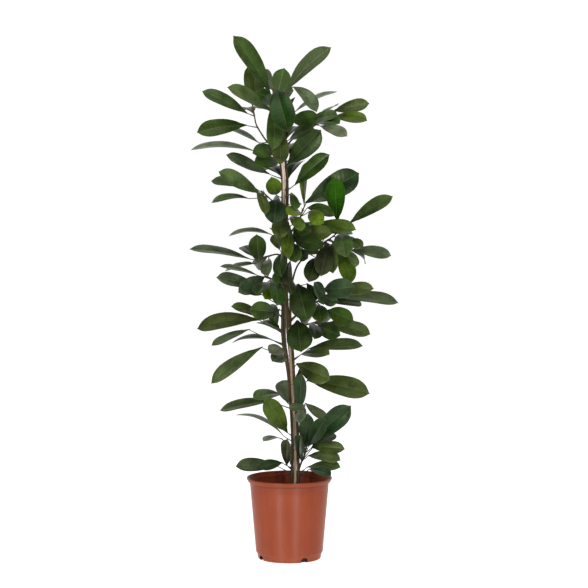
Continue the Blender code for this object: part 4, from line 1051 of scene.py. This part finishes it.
class NodeTree:
    """A tree of shader nodes, with short ways to add and link them."""

    def __init__(self, owner):
        owner.use_nodes = True
        self.nodes, self.links = owner.node_tree.nodes, owner.node_tree.links

    def put(self, socket, value):
        """Links a value into a socket, or sets it there. Three numbers are a screen colour."""
        if isinstance(value, bpy.types.NodeSocket):
            self.links.new(value, socket)
        elif socket.type == "RGBA" and len(value) == 3:
            socket.default_value = (*linear(value), 1.0)
        else:
            socket.default_value = value

    def add(self, kind, sockets, **options):
        """A new node's outputs, after its options are set and its sockets filled."""
        node = self.nodes.new("ShaderNode" + kind)
        for option, value in options.items():
            setattr(node, option, value)
        for socket, value in sockets.items():
            self.put(node.inputs[socket], value)
        return node.outputs

    def axes(self, vector):
        """The three numbers of a vector."""
        return self.add("SeparateXYZ", {0: vector})

    def math(self, operation, first, *others):
        """The first value with an operation on it alone, or with each of the others in turn."""
        for other in others or (0.0,):
            first = self.add("Math", {0: first, 1: other}, operation=operation)[0]
        return first

    def times(self, *values):
        """The values multiplied."""
        return self.math("MULTIPLY", *values)

    def ramp(self, value, low, high, to_low=0.0, to_high=1.0):
        """A value eased from one range into another."""
        return self.add("MapRange", {0: value, 1: low, 2: high, 3: to_low, 4: to_high},
                        interpolation_type="SMOOTHSTEP")[0]


class Shader(NodeTree):
    """A material, whose colour is a given one or else the shade that each point brings."""

    def __init__(self, name, roughness, colour=None, **sockets):
        self.material = bpy.data.materials.new(name)
        super().__init__(self.material)
        self.surface = self.nodes["Principled BSDF"]
        for socket, value in {"Roughness": roughness, **sockets}.items():
            self.feed(socket.replace("_", " "), value)
        self.colour = colour or self.attribute("shade")["Color"]

    def feed(self, socket, value):
        """Puts a value into one of the surface's sockets."""
        self.put(self.surface.inputs[socket], value)

    def tint(self, share, colour):
        """Mixes a share of another colour into the surface's."""
        self.colour = self.add("Mix", {0: share, 6: self.colour, 7: colour}, data_type="RGBA")[2]

    def attribute(self, name):
        """An attribute of the mesh."""
        return self.add("Attribute", {}, attribute_name=name)

    def place(self):
        """The three numbers of the point's place on its piece."""
        return self.axes(self.attribute("place")["Vector"])

    def height(self):
        """The height over the floor, in metres."""
        return self.axes(self.add("TexCoord", {})["Object"])[2]

    def noise(self, scale, detail, stretch=1):
        """Noise over the object's own space, in metres, stretched along its height."""
        where = self.add("TexCoord", {})["Object"]
        where = self.add("Mapping", {"Vector": where, "Scale": (1, 1, stretch)})[0]
        return self.add("TexNoise", {"Vector": where, "Scale": scale, "Detail": detail})[0]

    def patches(self, scale, detail, low, high, to_low=0.0, to_high=1.0, stretch=1):
        """Noise eased from one range into another."""
        return self.ramp(self.noise(scale, detail, stretch), low, high, to_low, to_high)

    def painted(self):
        """The material, painted with its colour."""
        self.feed("Base Color", self.colour)
        return self.material

    def bumped(self, height, distance, strength):
        """The painted material, with a height that counts in metres by the distance."""
        bump = self.add("Bump", {"Strength": strength, "Distance": distance, "Height": height})
        self.feed("Normal", bump[0])
        return self.painted()


def leaf_material(name, roughness, shine, under=False):
    """A leaf's face: its own shade, blotches, painted shade towards its base, a midrib, side veins
    and a paler margin. The underside is paler, and its veins stand out more."""
    shader = Shader(name, roughness, Specular_IOR_Level=shine, Specular_Tint=SHEEN)
    across, along, chance = shader.place()
    away = shader.math("ABSOLUTE", across)
    warp = shader.times(shader.math("SUBTRACT", shader.noise(30, 3), 0.5), 0.5)
    slant = shader.math("ADD", shader.times(away, -0.9), warp)
    rows = shader.math("ADD", shader.times(along, SIDE_VEINS), slant)
    to_vein = shader.math("PINGPONG", rows, 0.5)
    vein = shader.times(shader.ramp(to_vein, 0, 0.11, 1, 0), shader.ramp(away, 0.75, 1, 1, 0.15))
    rib = shader.ramp(away, 0.012, 0.05, 1, 0)
    margin = shader.ramp(away, 0.93, 1)
    blotch = shader.patches(26, 4, 0.3, 0.7, 0.6, 1.4)
    fine = shader.patches(160, 2, 0.3, 0.7, 0.9, 1.1)
    # Painted shade and light: each leaf is darker near its base, towards the shaded middle of the plant, and
    # lighter towards its tip.
    painted_base_shade = shader.ramp(along, 0, 0.8, 0.72, 1.12)
    change = shader.times(blotch, fine, painted_base_shade)
    shader.colour = shader.add("VectorMath", {0: shader.colour, "Scale": change}, operation="SCALE")[0]
    aged = shader.math("ADD", shader.noise(9, 2), shader.times(chance, 0.12))
    shader.tint(shader.ramp(aged, 0.58, 0.78, 0, 0.3), LEAF_AGED)
    if under:
        shader.tint(0.45, LEAF_UNDER)
    vein_share, rib_share, quilt_rise = (0.15, 0.5, -0.8) if under else (0.05, 0.2, 0.5)
    shader.tint(shader.times(vein, vein_share), LEAF_VEIN)
    shader.tint(shader.times(margin, 0.3), LEAF_MARGIN)
    shader.tint(shader.times(rib, rib_share), LEAF_RIB)
    shader.tint(shader.ramp(along, 0.955, 1, 0, 0.6), LEAF_TIP)
    quilt = shader.math("SINE", shader.times(to_vein, math.pi))
    height = shader.math("ADD", shader.times(quilt, quilt_rise), shader.times(shader.noise(260, 2), 0.25))
    return shader.bumped(height, 0.0006, 0.6)


def stalk_material():
    """Petioles: smooth and green, browner towards the wood."""
    shader = Shader("petiole", 0.5, Specular_IOR_Level=0.4)
    shader.tint(shader.patches(90, 3, 0.3, 0.7, 0, 0.35), STALK_PATCH)
    return shader.bumped(shader.noise(300, 2), 0.0004, 0.4)


def bark_material():
    """The stems' bark: brown, streaked along, with pale specks and darker rings."""
    shader = Shader("fig_bark", 0.72, Specular_IOR_Level=0.2)
    streaks = shader.noise(180, 4, 0.22)
    shader.tint(shader.ramp(streaks, 0.3, 0.7, 0, 0.55), BARK_STREAK)
    shader.tint(shader.patches(70, 3, 0.52, 0.72, 0, 0.65, 0.5), BARK_DARK)
    specks = shader.patches(520, 1, 0.66, 0.74, 0, 0.4, 0.6)
    shader.tint(specks, BARK_SPECK)
    return shader.bumped(shader.math("ADD", streaks, shader.times(specks, 0.5)), 0.0012, 0.7)


def cane_material():
    """Bamboo: pale tan with fine fibres along it, browner at its foot, darkened with painted shade
    from the foliage on the stretch between the stems' branches, and darker at and under each joint."""
    shader = Shader("bamboo", 0.48, CANE_SHADE, Specular_IOR_Level=0.45)
    fibres = shader.patches(900, 3, 0.3, 0.7, stretch=0.02)
    shader.tint(fibres, CANE_FIBRE)
    shader.tint(shader.patches(60, 4, 0.45, 0.7, 0, 0.4, 0.25), CANE_PATCH)
    height = shader.height()
    shader.tint(shader.ramp(height, 0.3, 0.9, 0.55, 0), CANE_FOOT)
    # Painted shade: the cane is darkened from 0.56 to 1.05 m high, where the foliage above shades it.
    shader.tint(shader.times(shader.ramp(height, 0.56, 0.64, 0, 0.88),
                             shader.ramp(height, 0.97, 1.05, 1, 0)), CANE_PAINTED_SHADE)
    from_joint = shader.math("SUBTRACT", shader.times(shader.place()[1], 10), 0.12)
    ring = shader.ramp(shader.math("ABSOLUTE", from_joint), 0.03, 0.16, 1, 0)
    shader.tint(shader.times(ring, 0.75), CANE_RING)
    return shader.bumped(fibres, 0.0004, 0.4)


def plastic_material():
    """Terracotta-coloured satin plastic, with faint flow streaks, scuffs, painted shade in the crease
    under its lip with a band of painted shadow below it, and a dusty foot."""
    shader = Shader("terracotta_plastic", 0.5, POT_SHADE, Specular_IOR_Level=0.23,
                    Anisotropic=0.88, Anisotropic_Rotation=0.25)
    shader.feed("Tangent", shader.add("Tangent", {}, direction_type="RADIAL", axis="Z")[0])
    shader.tint(shader.patches(60, 3, 0.3, 0.7, stretch=0.06), POT_STREAK)
    shader.tint(shader.patches(14, 3, 0.35, 0.7, 0, 0.4), POT_CLOUD)
    height = shader.height()
    lip_foot = (POT_HEIGHT - LIP_HEIGHT) * CM
    # Painted shade: the crease under the lip is darkened, and a band of painted shadow fades in below it.
    to_crease = shader.math("ABSOLUTE", shader.math("SUBTRACT", height, lip_foot + 0.0004))
    crease = shader.ramp(to_crease, 0.0014, 0.0034, 0.85, 0)
    below = shader.ramp(height, lip_foot - 0.03, lip_foot - 0.002, 0, 0.4)
    shader.tint(shader.math("MAXIMUM", crease, below), POT_PAINTED_SHADE)
    shader.tint(shader.times(shader.ramp(height, 0, 0.05, 0.06, 0), shader.patches(45, 5, 0.35, 0.65)),
                POT_DUST)
    shader.feed("Roughness", shader.patches(120, 4, 0.3, 0.7, 0.47, 0.53, 0.4))
    return shader.bumped(shader.noise(700, 2), 0.0001, 0.1)


def notch_shade_material():
    """The plastic in the drain notches, painted near black: painted shade for the dark inside them."""
    return Shader("notch_shade_plastic", 0.8, NOTCH_PAINTED_SHADE, Specular_IOR_Level=0.02).painted()


def peat_material():
    """Dark moist peat, with its crumbs' own shades."""
    shader = Shader("peat", 0.93, Specular_IOR_Level=0.2)
    shader.tint(shader.patches(220, 5, 0.35, 0.7, 0, 0.6), PEAT_WET)
    return shader.bumped(shader.noise(420, 4), 0.002, 0.9)


def make_floor():
    """A wide plain white floor under the pot, which glows a little, like a lit sheet."""
    form = bmesh.new()
    bmesh.ops.create_circle(form, cap_ends=True, segments=96, radius=FLOOR_RADIUS)
    floor = add_object("floor", as_mesh(form, "floor"))
    sheet = Shader("pale_floor", 0.9, FLOOR_COLOUR, Specular_IOR_Level=0.1,
                   Emission_Color=WHITE, Emission_Strength=FLOOR_GLOW)
    floor.data.materials.append(sheet.painted())


def turn_to(thing, place, aim):
    """Stands a light or the camera at a place, turned to an aim."""
    thing.location = place
    thing.rotation_euler = (Vector(aim) - Vector(place)).to_track_quat("-Z", "Y").to_euler()


def make_light(name, place, aim, size, power):
    """A soft rectangular light at a place, turned to an aim."""
    data = bpy.data.lights.new(name, "AREA")
    data.shape = "RECTANGLE"
    data.size, data.size_y = size
    data.energy = power
    light = add_object(name, data)
    turn_to(light, place, aim)
    return light


def make_studio():
    """The surroundings, the lights and the camera."""
    world = bpy.data.worlds.new("studio")
    tree = NodeTree(world)
    surroundings = tree.nodes["Background"].inputs
    tree.put(surroundings["Color"], WHITE)
    behind = tree.axes(tree.add("TexCoord", {})["Generated"])[1]
    tree.put(surroundings["Strength"], tree.ramp(behind, *WORLD_TURN, WORLD_IN_FRONT, WORLD_BEHIND))
    bpy.context.scene.world = world
    bpy.context.scene.view_settings.view_transform = "Standard"
    for light in LIGHTS:
        make_light(*light)
    for strip in HIGHLIGHT_STRIPS:
        make_light(*strip).visible_diffuse = False
    data = bpy.data.cameras.new("camera")
    data.lens = LENS
    data.sensor_width = SENSOR_WIDTH
    camera = add_object("camera", data)
    turn_to(camera, CAMERA_PLACE, CAMERA_AIM)
    bpy.context.scene.camera = camera


def main():
    """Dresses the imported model."""
    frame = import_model()
    leaf_materials = [leaf_material("leaf_upper", 0.34, 0.18), leaf_material("leaf_under", 0.62, 0.12, True),
                      stalk_material(), leaf_material("leaf_young", 0.42, 0.05)]
    bark = bark_material()
    for name, stem in (("fig_stem_left", LEFT_STEM), ("fig_stem_right", RIGHT_STEM)):
        make_stem(frame, name, stem, leaf_materials, bark)
    make_cane(cane_material())
    make_pot([plastic_material(), notch_shade_material()])
    make_soil(peat_material())
    make_floor()
    make_studio()


main()
